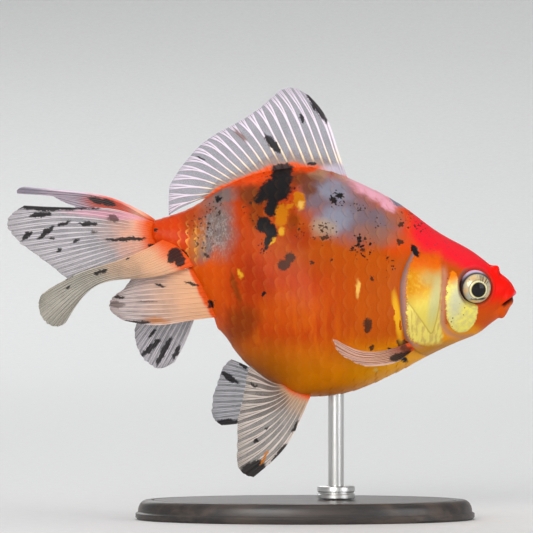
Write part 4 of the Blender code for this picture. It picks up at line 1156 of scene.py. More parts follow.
def fin_look(rays, count, sunk, **own):
    """One fin: its number of rays and the share of their length that is sunk in the body. own gives what
    differs from the usual milky fin. A reach is a share of the rays' length."""
    look = {
        "rays": rays, "count": count, "sunk": sunk, "thick": 0.0011,
        "web": ASH, "ray": MILK, "ray_root": None, "web_alpha": 0.40,
        "flush": PEACH, "flush_reach": 0.50, "root": (0.74, 0.085, 0.003), "root_reach": 0.11,
        "joints": 26, "ruffle": 0.25, "waves": 2.2, "fray": 1.0, "round": 0.035, "marks": [],
    }  # fmt: skip
    look.update(own)
    return look


def blushed_fin(**own):
    """A pectoral fin, which is the same on both sides but for its flush and marks."""
    web, ray = (0.52, 0.27, 0.18), (0.70, 0.45, 0.37)
    return fin_look(PECTORAL_FIN, 10, 0.12, web=web, ray=ray, web_alpha=0.45, **own)


FINS = {
    "dorsal_fin": fin_look(DORSAL_FIN, 20, 0.08, web=(0.22, 0.20, 0.27), ray=(0.80, 0.71, 0.80),
        ray_root=(0.98, 0.78, 0.52), web_alpha=0.36, flush=(0.34, 0.24, 0.20), flush_reach=0.20,
        root=(0.74, 0.085, 0.002), root_reach=0.06, ruffle=0.15, joints=34,
        marks=[
            ("brown", "soft", 0.8, [(77.3, 44.4, 2.4, 0.8, 42)]),
            ("pale lilac", "soft", 1.0, [(50.4, 34.6, 4.2, 2.0, 0)]),
            ("black", "ragged", 0.97, [
                (56.0, 52.4, 5.5, 1.0, 56), (60.3, 49.2, 1.5, 0.5, 70), (68.4, 42.0, 3.5, 1.0, 50),
                (57.4, 36.6, 1.2, 0.6, 0), (65.4, 34.9, 3.3, 1.6, 0), (88.6, 38.0, 1.2, 0.25, 30),
            ]),
        ]),
    "tail_upper_right": fin_look(TAIL_UPPER_RIGHT, 16, 0.05, thick=0.0016, web_alpha=0.55, root_reach=0.15,
        marks=[
            ("pink", "soft", 0.75, [(113.0, 22.0, 12.0, 1.1, 4)]),
            ("sooty", "ragged", 0.8, [(112.9, 21.0, 1.7, 0.8, 10), (118.2, 17.4, 0.8, 0.35, 0)]),
            ("black", "ragged", 0.95, [
                (132.3, 24.2, 9.6, 0.95, 2), (121.0, 24.1, 4.4, 0.4, 0), (132.8, 22.1, 3.0, 0.75, -5),
                (126.6, 19.7, 1.8, 0.5, -18), (119.9, 19.6, 2.8, 0.6, 0), (131.4, 17.1, 2.9, 0.8, -40),
                (136.6, 16.2, 1.9, 0.7, -42), (129.7, 15.3, 0.7, 0.5, -40), (127.8, 12.2, 0.9, 0.45, -50),
                (123.1, 14.8, 1.2, 0.45, -20), (109.5, 15.2, 5.8, 0.55, -2), (101.9, 13.5, 1.4, 0.7, 0),
            ]),
        ]),
    "tail_upper_left": fin_look(TAIL_UPPER_LEFT, 14, 0.05, thick=0.0016, web=(0.44, 0.36, 0.46),
        ray=(0.78, 0.62, 0.72), web_alpha=0.66, fray=0.3, round=0.06,
        marks=[
            ("ridge orange", "soft", 0.95, [(115.2, 25.2, 6.6, 2.2, 10), (111.6, 23.4, 3.6, 1.2, 20)]),
            ("slate", "soft", 0.5, [(137.5, 29.6, 5.0, 1.6, 0)]),
            ("black", "ragged", 0.97, [
                (116.6, 26.0, 4.2, 0.9, 14), (112.4, 23.0, 2.2, 0.4, 20), (124.0, 22.5, 2.6, 0.7, 0),
            ]),
        ]),
    "tail_lower_right": fin_look(TAIL_LOWER_RIGHT, 13, 0.06, thick=0.0016, web=(0.28, 0.265, 0.22),
        ray=(0.52, 0.475, 0.40), web_alpha=0.66, fray=0.4, flush=(0.76, 0.42, 0.24), flush_reach=0.70,
        root_reach=0.16,
        marks=[("black", "ragged", 0.95, [
            (95.6, 10.9, 2.0, 2.0, 20), (94.2, 9.0, 1.6, 1.5, -30), (96.9, 9.7, 1.0, 1.5, 0),
            (127.6, 3.6, 4.2, 0.55, -24), (125.0, 1.9, 0.8, 0.35, -30), (115.9, 6.1, 2.0, 0.5, -20),
            (108.8, 9.9, 0.6, 0.25, -20),
        ])]),
    "tail_lower_left": fin_look(TAIL_LOWER_LEFT, 14, 0.06, thick=0.0016, web_alpha=0.55,
        marks=[("black", "ragged", 0.95, [
            (112.0, 7.2, 2.4, 0.7, -10), (116.5, 6.4, 2.0, 0.5, -10), (105.0, 7.4, 1.6, 0.4, 0),
        ])]),
    "anal_fin_right": fin_look(ANAL_FIN_RIGHT, 12, 0.10, web=(0.42, 0.345, 0.34), ray=(0.64, 0.53, 0.50),
        web_alpha=0.66, flush=(0.74, 0.41, 0.23), flush_reach=0.90, root_reach=0.04,
        marks=[
            ("amber", "soft", 0.7, [(100.8, -7.4, 3.2, 0.9, 4)]),
            ("black", "ragged", 0.92, [
                (85.6, -2.8, 1.1, 1.3, 0), (100.0, 2.4, 1.8, 0.32, 12), (91.0, 2.8, 2.1, 0.42, 14),
                (111.0, -1.0, 1.5, 0.4, 0), (106.6, -8.0, 4.2, 0.7, 2),
            ]),
            ("sooty", "ragged", 0.6, [(111.6, -3.0, 2.2, 0.9, 0), (103.2, -2.2, 2.6, 0.25, 0)]),
        ]),
    "anal_fin_left": fin_look(ANAL_FIN_LEFT, 12, 0.10, web=(0.32, 0.31, 0.34), ray=(0.70, 0.66, 0.70),
        web_alpha=0.64,
        marks=[("black", "ragged", 0.93, [
            (102.4, -11.4, 1.7, 0.5, -45), (103.1, -15.5, 4.0, 0.8, -42), (99.2, -16.3, 4.4, 0.75, -62),
            (95.5, -16.6, 2.4, 0.55, -65),
        ])]),
    "pelvic_fin_right": fin_look(PELVIC_FIN_RIGHT, 13, 0.10, web=(0.26, 0.23, 0.20), ray=(0.62, 0.54, 0.49),
        web_alpha=0.60, flush=(0.66, 0.42, 0.24), flush_reach=0.30,
        marks=[
            ("black", "ragged", 0.96, [
                (74.0, -48.8, 3.9, 2.3, -28), (66.9, -45.4, 4.6, 1.1, -55), (73.1, -40.7, 0.7, 0.6, 0),
                (69.8, -37.3, 0.7, 0.35, -40), (73.6, -25.3, 1.3, 0.35, 33), (62.0, -36.8, 1.9, 0.4, -62),
            ]),
            ("amber", "ragged", 0.9, [(70.6, -45.4, 2.3, 0.5, -62)]),
        ]),
    "pelvic_fin_left": fin_look(PELVIC_FIN_LEFT, 13, 0.10, web=(0.22, 0.225, 0.25), ray=(0.55, 0.55, 0.59),
        web_alpha=0.64,
        marks=[("black", "ragged", 0.95, [
            (81.4, -36.6, 3.3, 1.0, 0), (80.6, -23.9, 3.1, 0.8, 32), (76.6, -20.5, 1.2, 0.5, 40),
        ])]),
    "pectoral_fin_right": blushed_fin(flush=(0.42, 0.07, 0.02), flush_reach=0.40,
        marks=[
            ("black", "ragged", 0.93, [(32.6, -17.2, 3.4, 1.1, -12)]),
            ("sooty", "ragged", 0.7, [(31.4, -15.2, 1.6, 0.9, 0)]),
        ]),
    "pectoral_fin_left": blushed_fin(flush=(0.52, 0.10, 0.02), flush_reach=0.32,
        marks=[("black", "ragged", 0.93, [(42.0, -18.4, 2.4, 0.6, 0)])]),
}  # fmt: skip


# ------------------------------ handling objects


def clear_selection():
    if bpy.context.object and bpy.context.object.mode != "OBJECT":
        bpy.ops.object.mode_set(mode="OBJECT")
    bpy.ops.object.select_all(action="DESELECT")


def pick(obj):
    """Selects this object alone and makes it the active one."""
    clear_selection()
    obj.select_set(True)
    bpy.context.view_layer.objects.active = obj


def fresh(name):
    """Names the object that an operator has just made."""
    obj = bpy.context.object
    obj.name = obj.data.name = name
    return obj


def mesh_object(name, places, edges, faces):
    """A new object from the places of its points and what joins them."""
    mesh = bpy.data.meshes.new(name)
    mesh.from_pydata(places, edges, faces)
    obj = bpy.data.objects.new(name, mesh)
    bpy.context.scene.collection.objects.link(obj)
    return obj


def unit_grid(name, columns, rows, middle):
    """A flat grid one metre wide, with its place in its mesh. Its map keeps the flat coordinates."""
    clear_selection()
    bpy.ops.mesh.primitive_grid_add(x_subdivisions=columns, y_subdivisions=rows, size=1, location=middle)
    grid = fresh(name)
    pick(grid)
    bpy.ops.object.transform_apply(location=True, rotation=True, scale=True)
    grid.data.uv_layers[0].name = "OFBake"
    return grid


def vectors(items, name):
    flat = np.empty(len(items) * 3)
    items.foreach_get(name, flat)
    return flat.reshape(-1, 3)


def vertex_places(obj):
    return vectors(obj.data.vertices, "co")


def set_vertex_places(obj, places):
    obj.data.vertices.foreach_set("co", np.ascontiguousarray(places, float).ravel())
    obj.data.update()


def vertex_normals(obj):
    return vectors(obj.data.vertex_normals, "vector")


def edit_all(obj, *steps):
    """Runs edit-mode steps with all of the object selected."""
    pick(obj)
    bpy.ops.object.mode_set(mode="EDIT")
    bpy.ops.mesh.select_all(action="SELECT")
    for step, options in steps:
        step(**options)
    bpy.ops.object.mode_set(mode="OBJECT")


def divide_faces(obj, chosen):
    """Cuts each chosen face in four."""
    clear_selection()
    mesh = obj.data
    mesh.vertices.foreach_set("select", np.zeros(len(mesh.vertices), bool))
    mesh.edges.foreach_set("select", np.zeros(len(mesh.edges), bool))
    mesh.polygons.foreach_set("select", np.asarray(chosen, bool))
    pick(obj)
    bpy.context.tool_settings.mesh_select_mode = (False, False, True)
    bpy.ops.object.mode_set(mode="EDIT")
    bpy.ops.mesh.subdivide(number_cuts=1)
    bpy.ops.object.mode_set(mode="OBJECT")


OUTWARDS = (bpy.ops.mesh.normals_make_consistent, {"inside": False})


def close_up(obj, nearest=1e-6):
    edit_all(obj, (bpy.ops.mesh.remove_doubles, {"threshold": nearest}), OUTWARDS)


def thicken(obj, thickness, **settings):
    """Gives a sheet its thickness with an applied Solidify modifier."""
    pick(obj)
    bpy.ops.object.modifier_add(type="SOLIDIFY")
    modifier = obj.modifiers[-1]
    modifier.thickness = thickness
    modifier.use_even_offset = False
    for name, value in settings.items():
        setattr(modifier, name, value)
    bpy.ops.object.modifier_apply(modifier=modifier.name)


def smooth(obj, sharp_from=None):
    """Shades it smooth, but for edges that turn by more than sharp_from, in degrees."""
    pick(obj)
    if sharp_from is None:
        bpy.ops.object.shade_smooth()
    else:
        bpy.ops.object.shade_smooth_by_angle(angle=math.radians(sharp_from))


def give_attribute(obj, name, values):
    made = obj.data.attributes.new(name, "FLOAT", "POINT")
    made.data.foreach_set("value", np.ascontiguousarray(values, float))


def finish_piece(obj, material, replaced=()):
    obj.data.materials.clear()
    obj.data.materials.append(material)
    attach(obj, "root")
    if replaced:
        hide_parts(*replaced)
    return obj


# ------------------------------ skin and scales

SCALE_CREASE = 50  # degrees from which a scale's edge stays sharp
FLESH = ("head", "jaw_lower", "gill_cover_right", "gill_cover_left", "trunk", "tail_root",
         "nostril_flap_right", "nostril_flap_left")  # fmt: skip
FINE_HEAD_END, FINE_SNOUT_END = 34.5, 12.0  # the skin's mesh is finer ahead of these
FINE_SIDE = (0.06, 0.44)  # shares of the way round from the belly, on either side


def make_skin(settings):
    """One closed skin. It starts as a flat grid, which stays on it as its unwrap: x is the root of the
    distance behind the snout, and y is the way round from the belly."""
    skin = unit_grid("skin", settings.rings, settings.sides, (0.5, 0.5, 0))
    across, way_round, _ = vectors(skin.data.polygons, "center").T
    behind = TAIL_ROOT_END * across**2
    from_back = np.abs(way_round - 0.5)
    on_side = (from_back > FINE_SIDE[0]) & (from_back < FINE_SIDE[1])
    divide_faces(skin, (behind < FINE_HEAD_END) & on_side | (behind < FINE_SNOUT_END))
    flat = np.clip(vertex_places(skin), 0, 1)
    set_vertex_places(skin, in_metres(surface(TAIL_ROOT_END * flat[:, 0] ** 2, flat[:, 1])))
    close_up(skin)
    places = vertex_places(skin)
    points = in_hundredths(places)
    lines = head_lines(*np.moveaxis(points, -1, 0))
    rise = relief(points, lines) - settings.coat_depth / PERCENT
    set_vertex_places(skin, places + vertex_normals(skin) * (rise * PERCENT)[:, None])
    for name in HEAD_ATTRIBUTES:
        give_attribute(skin, name, lines[name])
    smooth(skin)
    return finish_piece(skin, fish_paint("goldfish skin", settings, True), FLESH)


# How the scales grow along the body, by distance behind the snout, in hundredths.
PITCH_STATIONS, PITCHES = [28, 44, 66, 84, 101], [3.9, 4.5, 4.4, 3.2, 2.2]
STEP_STATIONS, STEPS = [28, 44, 70, 101], [2.6, 3.2, 3.1, 2.0]
SCALES_START, SCALES_END = 27.0, 100.0
MOST_ROWS = 14  # rows above or below the lateral line
SCALE_LENGTH, SCALE_WIDTH = 1.62, 1.24  # as shares of a column's step and of a row's pitch
SCALE_PATCH = 0.003  # a scale's size on the map


def scale_template():
    """One scale lying flat: x runs from its root at 0 to its free edge at 1, and y across it."""
    scale = unit_grid("scale", 4, 5, (0.5, 0, 0))
    flat = vertex_places(scale)
    along, across = flat[:, 0], flat[:, 1] * 2
    flat[:, 0] = along * (1 - 0.30 * across**2 * along)
    flat[:, 1] = across / 2 * (1 - 0.22 * along**3) * (0.86 + 0.14 * blend(0, 0.5, along))
    set_vertex_places(scale, flat)
    thicken(scale, 1.0, offset=-1.0)
    close_up(scale)
    places = vertex_places(scale)
    places[:, 2] -= places[:, 2].max()
    faces = [tuple(p.vertices) for p in scale.data.polygons]
    bpy.data.objects.remove(scale)
    return places, faces


def scale_pitch(behind):
    """Distance from one row of scales to the next round the body."""
    return np.interp(behind, PITCH_STATIONS, PITCHES)


def column_step(behind):
    """Distance from one column of scales to the next."""
    return np.interp(behind, STEP_STATIONS, STEPS)


def row_share(behind, rows):
    """The share of the way round at which a row lies, counted in pitches from the lateral line."""
    return rings.widest_share(behind) + rows * scale_pitch(behind) / rings.girth(behind)


def scale_roots():
    """Where the scales of one side are rooted: (behind, rows from the lateral line)."""
    roots = []
    behind, column = SCALES_START, 0
    while behind < SCALES_END:
        for row in range(-MOST_ROWS, MOST_ROWS + 1):
            place = row + 0.5 * (column % 2)
            if -0.005 < row_share(behind, place) < 0.505:
                roots.append((behind, place))
        behind += column_step(behind)
        column += 1
    return np.array(roots)


def scale_places(behind, rows, side):
    """Points of the body under the scales and the outward directions there."""

    def at(b, r):
        share = row_share(b, r)
        return surface(b, np.mod(share if side > 0 else 1 - share, 1.0))

    behind = np.minimum(behind, TAIL_ROOT_END - 1.0)
    middle = at(behind, rows)
    tailward = at(behind + 0.05, rows) - at(behind - 0.05, rows)
    upward = at(behind, rows + 0.02) - at(behind, rows - 0.02)
    outward = np.cross(tailward, upward)
    outward /= np.maximum(np.linalg.norm(outward, axis=-1, keepdims=True), 1e-9)
    away = middle - np.stack([middle[..., 0], 0 * middle[..., 1], widest_height(middle[..., 0])], axis=-1)
    outward *= np.where((outward * away).sum(axis=-1, keepdims=True) < 0, -1, 1)
    return middle, outward


def bare_of_head(roots, tones, side):
    """Leaves out the scales whose roots would lie on the head."""
    start, _ = scale_places(*roots.T, side)
    cover, _ = beside_line(start[:, 0], start[:, 2], COVER_EDGE, reach=30)
    kept = (cover < 0.9) & (start[:, 0] > 20)
    return roots[kept], tones[kept], start[kept, 0]


def scale_surface(roots, tones, template, side, settings):
    """Each scale's points in metres, laid on the skin, its free edge lifted and its corners pressed down."""
    behind, row, tone = roots[:, :1], roots[:, 1:], tones[:, None] - 0.5
    along, across, down = template.T[:, None]
    length = column_step(behind) * SCALE_LENGTH
    rows = row + across * (SCALE_WIDTH + 0.06 * tone)
    points, outward = scale_places(behind + along * length, rows, side)
    lines = head_lines(*np.moveaxis(points, -1, 0))
    rise = relief(points, lines, with_cover=False) * PERCENT - settings.coat_depth
    lift = along * (1 + 0.25 * tone) - 0.34 - 0.35 * (2 * across) ** 2 * along
    rise = rise + settings.scale_lift * lift + settings.scale_thickness * down
    return in_metres(points + outward * (rise / PERCENT)[..., None])


def map_scales(scales, starts, shares, template):
    """Gives each scale a small patch of the map at its root's place on the skin's own map."""
    along, across, _ = template.T[:, None]
    u = np.sqrt(starts / TAIL_ROOT_END)[:, None] + SCALE_PATCH * (along - 0.5)
    v = np.clip(shares, 0.002, 0.998)[:, None] + SCALE_PATCH * across
    corners = np.empty(len(scales.data.loops), int)
    scales.data.loops.foreach_get("vertex_index", corners)
    layer = scales.data.uv_layers.new(name="OFBake")
    layer.data.foreach_set("uv", np.stack([u.ravel()[corners], v.ravel()[corners]], axis=-1).ravel())


def make_scales(name, side, settings):
    """The scales of one side, overlapping tailwards in rows that run out at the back and belly."""
    template, faces = scale_template()
    roots = scale_roots()
    tones = np.random.default_rng(settings.seed + (side > 0)).uniform(0, 1, len(roots))
    roots, tones, starts = bare_of_head(roots, tones, side)
    places = scale_surface(roots, tones, template, side, settings)
    count, size = places.shape[:2]
    all_faces = [tuple(i + k * size for i in face) for k in range(count) for face in faces]
    scales = mesh_object(name, places.reshape(-1, 3).tolist(), [], all_faces)
    close_up(scales, 1e-9)
    give_attribute(scales, "tone", np.repeat(tones, size))
    edge = blend(0.72, 1.0, template[:, 0] + 0.16 * (2 * template[:, 1]) ** 2)
    give_attribute(scales, "rim", np.tile(edge, count))
    share = row_share(*roots.T)
    map_scales(scales, starts, share if side > 0 else 1 - share, template)
    smooth(scales, SCALE_CREASE)
    return scales


# ------------------------------ eyes


def make_eye(name, side, settings, material):
    clear_selection()
    bpy.ops.mesh.primitive_uv_sphere_add(segments=72, ring_count=48, radius=1)
    eye = fresh(name + "_globe")
    places = vertex_places(eye)
    outward = Vector((math.sin(EYE_FORWARD), side * math.cos(EYE_FORWARD), 0))
    turn = outward.to_track_quat("Z", "Y").to_matrix()
    from_gaze = np.linalg.norm(places - np.array(turn.inverted() @ gaze(side)), axis=1)
    swell = 0.05 * hump(from_gaze, 0.42)[:, None]  # the lens pushes the clear front out
    places = places * (1 + swell) * (settings.eye_radius, settings.eye_radius, settings.eye_depth)
    middle = in_metres((EYE[0], side * EYE[1], EYE[2]))
    set_vertex_places(eye, places @ np.array(turn).T + middle)
    smooth(eye)
    return finish_piece(eye, material, (name,))


# ------------------------------ fins

NUDGE = 1e-3  # a small step along or across a fin
NET_STEPS = 241  # how finely the way across a fin is measured
FIN_CREASE = 60


class RaySheet:
    """A smooth sheet through a fin's rays, crossed at an even pace, which keeps the rays evenly apart."""

    def __init__(self, rays):
        self.by_ray = natural_spline(np.linspace(0, 1, len(rays)), rays)
        self.knots = np.linspace(0, 1, rays.shape[1])
        self.even = np.linspace(0, 1, NET_STEPS)
        walked = np.linalg.norm(np.diff(self.by_ray(self.even), axis=0), axis=2).cumsum(axis=0)
        self.walked = np.vstack([np.zeros(walked.shape[1]), walked / walked[-1]])[:, 1:].mean(axis=1)

    def ray(self, across):
        return self.by_ray(np.interp(across, self.walked, self.even))

    def out_along(self, rays, reach):
        """The points at the reach along each ray, from 0 at its root to 1 at its tip."""
        weights = natural_spline(self.knots, np.eye(len(self.knots)))(reach)
        return (rays * weights[:, :, None]).sum(axis=1)

    def at(self, across, reach):
        """Points of the sheet and the directions straight out of it."""
        rays = self.ray(across)
        points = self.out_along(rays, reach)
        beside = self.out_along(self.ray(across + NUDGE) - self.ray(across - NUDGE), reach)
        outward = np.cross(beside, self.out_along(rays, reach + NUDGE) - points)
        return points, outward / np.linalg.norm(outward, axis=1, keepdims=True)


def ray_ridge(across, along, count):
    """1 along the middle of each forked ray, falling to 0 on the web between."""
    beside = np.abs((across * count) % 1 - 0.5)
    for width, start, end in FORKS:
        beside = np.abs(beside - width * blend(start, end, along))
    core = blend(1.3, 0.5, beside / (RAY_ROOT - RAY_TAPER * along))
    return np.maximum(core, blend(0.45, 0.15, across * count))


def edge_notch(across, along, ridge, look):
    """How far the edge draws back: a little between rays, more where it is frayed, most at its corners."""
    frayed = 0.5 + 0.5 * np.sin(across * 23 + np.sin(across * 41) * 1.5)
    corner = np.clip(1 - np.minimum(across, 1 - across) / 0.14, 0, 1) ** 2
    notch = (0.005 * (1 - ridge) + 0.010 * frayed) * look["fray"] + corner * look["round"]
    return blend(0.55, 1.0, along) * notch


def fin_ruffle(across, along, look, start):
    """The waves that the fin's edge hangs in, in hundredths."""
    turns = 2 * math.pi * across * look["waves"]
    wave = np.sin(turns + 2 * math.pi * 0.35 * along + start) + 0.4 * np.sin(turns * 2.3 + 1.7 * along + 1.0)
    return look["ruffle"] * wave * np.clip(along, 0, 1) ** 1.5


def fin_thickness(along, ridge, look, settings):
    """Thick at the root, then a thin web with the rays standing out of it."""
    root = np.exp(-along / 0.10)
    rays = settings.ray_thickness * (1 - 0.55 * along) * ridge * (1 - 0.5 * root)
    return look["thick"] * root + rays + settings.web_thickness


def make_fin(name, look, settings):
    """A blade through the fin's rays: a grid laid on them, then given its ridged thickness."""
    side = -1 if name == "pectoral_fin_right" else 1
    sheet = RaySheet(np.array(look["rays"], float) * (1, side, 1))
    fin = unit_grid(name + "_rays", look["count"] * settings.ray_steps, settings.fin_rows, (0.5, 0.5, 0))
    flat = np.clip(vertex_places(fin), 0, 1)
    across, along = flat[:, 0], flat[:, 1] * (1 + look["sunk"]) - look["sunk"]
    bare = np.clip(along, 0, 1)  # the sunk part counts as root
    ridge = ray_ridge(across, bare, look["count"])
    points, outward = sheet.at(across, along * (1 - edge_notch(across, along, ridge, look)))
    points += outward * fin_ruffle(across, along, look, len(name))[:, None]
    set_vertex_places(fin, in_metres(points))
    thick = fin_thickness(bare, ridge, look, settings)
    group = fin.vertex_groups.new(name="thickness")
    for index, weight in enumerate(thick / thick.max()):
        group.add([index], float(weight), "REPLACE")
    thicken(fin, float(thick.max()), offset=0.0, vertex_group=group.name)
    edit_all(fin, OUTWARDS)
    smooth(fin, FIN_CREASE)
    return finish_piece(fin, fin_paint(name, look), (name,))


# ------------------------------ display stand

STAND_CREASE = 35

def turned(name, profile, middle=(0.0, 0.0), steps=96, stretch=(1.0, 1.0)):
    """A form turned round an upright axis from a profile of (radius, height), then stretched to an oval."""
    edges = [(i, i + 1) for i in range(len(profile) - 1)]
    obj = mesh_object(name, [(r, 0, z) for r, z in profile], edges, [])
    spun = {"steps": steps, "angle": 2 * math.pi, "center": (0, 0, 0), "axis": (0, 0, 1)}
    edit_all(obj, (bpy.ops.mesh.spin, spun))
    set_vertex_places(obj, vertex_places(obj) * (*stretch, 1) + (*middle, 0))
    close_up(obj)
    return obj


def middle_of(node):
    """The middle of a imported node, seen from above."""
    low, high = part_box(node)
    return ((low.x + high.x) / 2, (low.y + high.y) / 2)


def quarter_turn(steps):
    """Sines and cosines of even steps through a right angle."""
    angles = [math.pi / 2 * step / steps for step in range(steps + 1)]
    return [(math.sin(angle), math.cos(angle)) for angle in angles]


def make_base(settings):
    """The oval base: a plain foot, a rounded moulding and a fine groove round the top."""
    low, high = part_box("stand_base")
    length, width, top = high.x - low.x, high.y - low.y, high.z
    radius, foot, groove = length / 2, 0.0020, 0.0003
    profile = [(0, 0), (radius - 0.0006, 0), (radius, 0.0006), (radius, 0.0016)]
    for sine, cosine in quarter_turn(8):
        profile.append((radius - settings.base_round * (1 - cosine) - 0.0006, foot + (top - foot) * sine))
    inner = profile[-1][0] - 0.0012
    profile += [(inner, top), (inner - 0.0004, top - groove), (inner - 0.0008, top), (0, top)]
    base = turned("stand_base_turned", profile, middle_of("stand_base"), 128, (1, width / length))
    smooth(base, STAND_CREASE)
    finish_piece(base, wood_paint(), ("stand_base",))


def make_collar(rod_radius):
    """The turned collar at the rod's foot, with a groove round its waist."""
    low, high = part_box("stand_collar")
    foot, top = low.z, high.z
    radius, bore = (high.x - low.x) / 2, rod_radius + 0.00015
    waist, edge = radius - 0.0003, 0.0005
    profile = [
        (bore, foot), (radius - 0.0002, foot), (radius, foot + 0.0002), (radius, foot + 0.0010),
        (waist, foot + 0.0013), (waist, foot + 0.0016), (radius, foot + 0.0019), (radius, top - edge),
        (radius - edge * 0.3, top - edge * 0.3), (radius - edge, top), (bore + 0.0003, top),
        (bore, top - 0.0003), (bore, foot),
    ]  # fmt: skip
    collar = turned("stand_collar_turned", profile, middle_of("stand_collar"), 72)
    smooth(collar, STAND_CREASE)
    finish_piece(collar, steel_paint("turned steel", (120, 120, 3000)), ("stand_collar",))


def make_stand(settings):
    make_base(settings)
    low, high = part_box("stand_rod")
    radius, end, edge = (high.x - low.x) / 2, high.z, 0.0006
    make_collar(radius)
    profile = [(0, low.z), (radius, low.z), (radius, end - edge), (radius - edge, end), (0, end)]
    rod = turned("stand_rod_turned", profile, middle_of("stand_collar"), 48)
    smooth(rod, STAND_CREASE)
    finish_piece(rod, steel_paint("drawn steel", (2500, 2500, 60)), ("stand_rod",))


# ------------------------------ studio

FLOOR_FLAT, FLOOR_RIM, FLOOR_RISE = 1.7, 4.8, 3.2  # radii of its flat part and rim, and the rim's height
SENSOR_WIDTH = 36
# Each light is (name, place, size, power, colour).
LIGHTS = [
    ("ceiling softbox", (0, 0, 3.3), 5.0, 57, (1.0, 1.0, 0.99)),
    ("front softbox", (-0.8, -2.5, 1.0), 1.3, 42, (1.0, 0.98, 0.96)),
    ("side softbox", (1.8, -1.4, 0.6), 1.2, 15, (0.97, 0.98, 1.0)),
    ("back softbox", (-0.6, 2.2, 1.5), 1.6, 16, (1.0, 1.0, 1.0)),
]


def make_floor(settings):
    """A pale floor that curves up far away on every side."""
    bowl = [(FLOOR_FLAT * share, 0) for share in (0, 0.1, 0.4, 1.0)]
    for sine, cosine in quarter_turn(16)[1:]:
        bowl.append((FLOOR_FLAT + (FLOOR_RIM - FLOOR_FLAT) * sine, FLOOR_RISE * (1 - cosine)))
    floor = turned("studio_floor", bowl, steps=96)
    if vertex_normals(floor)[:, 2].mean() < 0:
        edit_all(floor, (bpy.ops.mesh.flip_normals, {}))
    smooth(floor)
    floor.data.materials.append(studio_paint(settings.floor_colour))


def add_light(name, place, size, power, colour, target):
    clear_selection()
    bpy.ops.object.light_add(type="AREA", location=place)
    light = bpy.context.object
    light.name = name
    light.rotation_euler = (target - Vector(place)).to_track_quat("-Z", "Y").to_euler()
    light.data.shape = "SQUARE"
    light.data.size = size
    light.data.energy = power
    light.data.color = colour
    light.visible_camera = False


def make_stage(settings):
    """The floor, soft lights, the air's even light and the camera."""
    make_floor(settings)
    target = Vector(in_metres((VIEW_CENTRE[0], 0, VIEW_CENTRE[1])))
    for name, place, size, power, colour in LIGHTS:
        add_light(name, place, size, power * settings.light, colour, target)
    world = bpy.data.worlds.new("studio air")
    world.use_nodes = True
    world.node_tree.nodes["Background"].inputs["Color"].default_value = (1, 1, 1, 1)
    world.node_tree.nodes["Background"].inputs["Strength"].default_value = settings.air
    bpy.context.scene.world = world

    clear_selection()
    place = target - Vector((0, CAMERA_DISTANCE, 0))
    bpy.ops.object.camera_add(location=place, rotation=(math.pi / 2, 0, 0))
    camera = bpy.context.object
    camera.data.sensor_width = SENSOR_WIDTH
    camera.data.lens = SENSOR_WIDTH * CAMERA_DISTANCE / (VIEW_WIDTH * PERCENT)
    camera.data.clip_start, camera.data.clip_end = 0.01, 50
    bpy.context.scene.camera = camera
    bpy.context.scene.view_settings.view_transform = "Standard"


# ------------------------------ settings, operators and panel


class GoldfishSkinSettings(bpy.types.PropertyGroup):
    """Sizes and colours of the skin and the scales."""

    coat_depth: FloatProperty(
        name="Coat depth", description="How far the skin lies in the solids", default=0.00022, unit="LENGTH"
    )
    scale_lift: FloatProperty(
        name="Scale lift", description="How far a scale's free edge rises", default=0.00022, unit="LENGTH"
    )
    scale_thickness: FloatProperty(
        name="Scale thickness", description="Thickness of one scale", default=0.00005, unit="LENGTH"
    )
    rings: IntProperty(name="Rings", description="Divisions of the skin from snout to tail", default=220)
    sides: IntProperty(name="Sides", description="Divisions of the skin round the body", default=176)
    seed: IntProperty(name="Seed", description="Picks the scales' tones", default=7)
    orange: FloatVectorProperty(
        name="Flank", description="Colour of the flank", subtype="COLOR", default=(0.46, 0.040, 0.0003)
    )
    front_orange: FloatVectorProperty(
        name="Shoulder", description="Colour by the gills", subtype="COLOR", default=(0.45, 0.080, 0.0004)
    )
    belly: FloatVectorProperty(
        name="Belly", description="Colour of the belly", subtype="COLOR", default=(0.66, 0.190, 0.0005)
    )
    crimson: FloatVectorProperty(
        name="Crown", description="Colour of the crown", subtype="COLOR", default=(0.80, 0.010, 0.022)
    )


class GoldfishEyeSettings(bpy.types.PropertyGroup):
    """Sizes of the eyes."""

    eye_radius: FloatProperty(
        name="Eye radius", description="Radius of the globe", default=0.0043, unit="LENGTH"
    )
    eye_depth: FloatProperty(
        name="Eye depth", description="Half the globe's thickness", default=0.0033, unit="LENGTH"
    )
    iris: FloatProperty(
        name="Iris radius", description="Radius of the silver disc", default=0.0038, unit="LENGTH"
    )


class GoldfishFinSettings(bpy.types.PropertyGroup):
    """Sizes of the fins."""

    ray_thickness: FloatProperty(
        name="Ray thickness", description="How thick a ray is near its root", default=0.00032, unit="LENGTH"
    )
    web_thickness: FloatProperty(
        name="Web thickness", description="Thickness of the web between rays", default=0.00014, unit="LENGTH"
    )
    ray_steps: IntProperty(name="Steps per ray", description="Mesh divisions across one ray", default=12)
    fin_rows: IntProperty(name="Fin rows", description="Mesh divisions along a ray", default=44)


class GoldfishStageSettings(bpy.types.PropertyGroup):
    """Stand and studio."""

    base_round: FloatProperty(
        name="Base rounding", description="Radius of the base's moulding", default=0.0022, unit="LENGTH"
    )
    floor_colour: FloatVectorProperty(
        name="Floor", description="Colour of the paper", subtype="COLOR", default=(0.74, 0.745, 0.75)
    )
    light: FloatProperty(name="Light", description="Strength of the soft lights", default=1.0)
    air: FloatProperty(name="Air", description="Strength of the light from all round", default=0.32)


SETTINGS = {
    "goldfish_skin": GoldfishSkinSettings,
    "goldfish_eyes": GoldfishEyeSettings,
    "goldfish_fins": GoldfishFinSettings,
    "goldfish_stage": GoldfishStageSettings,
}


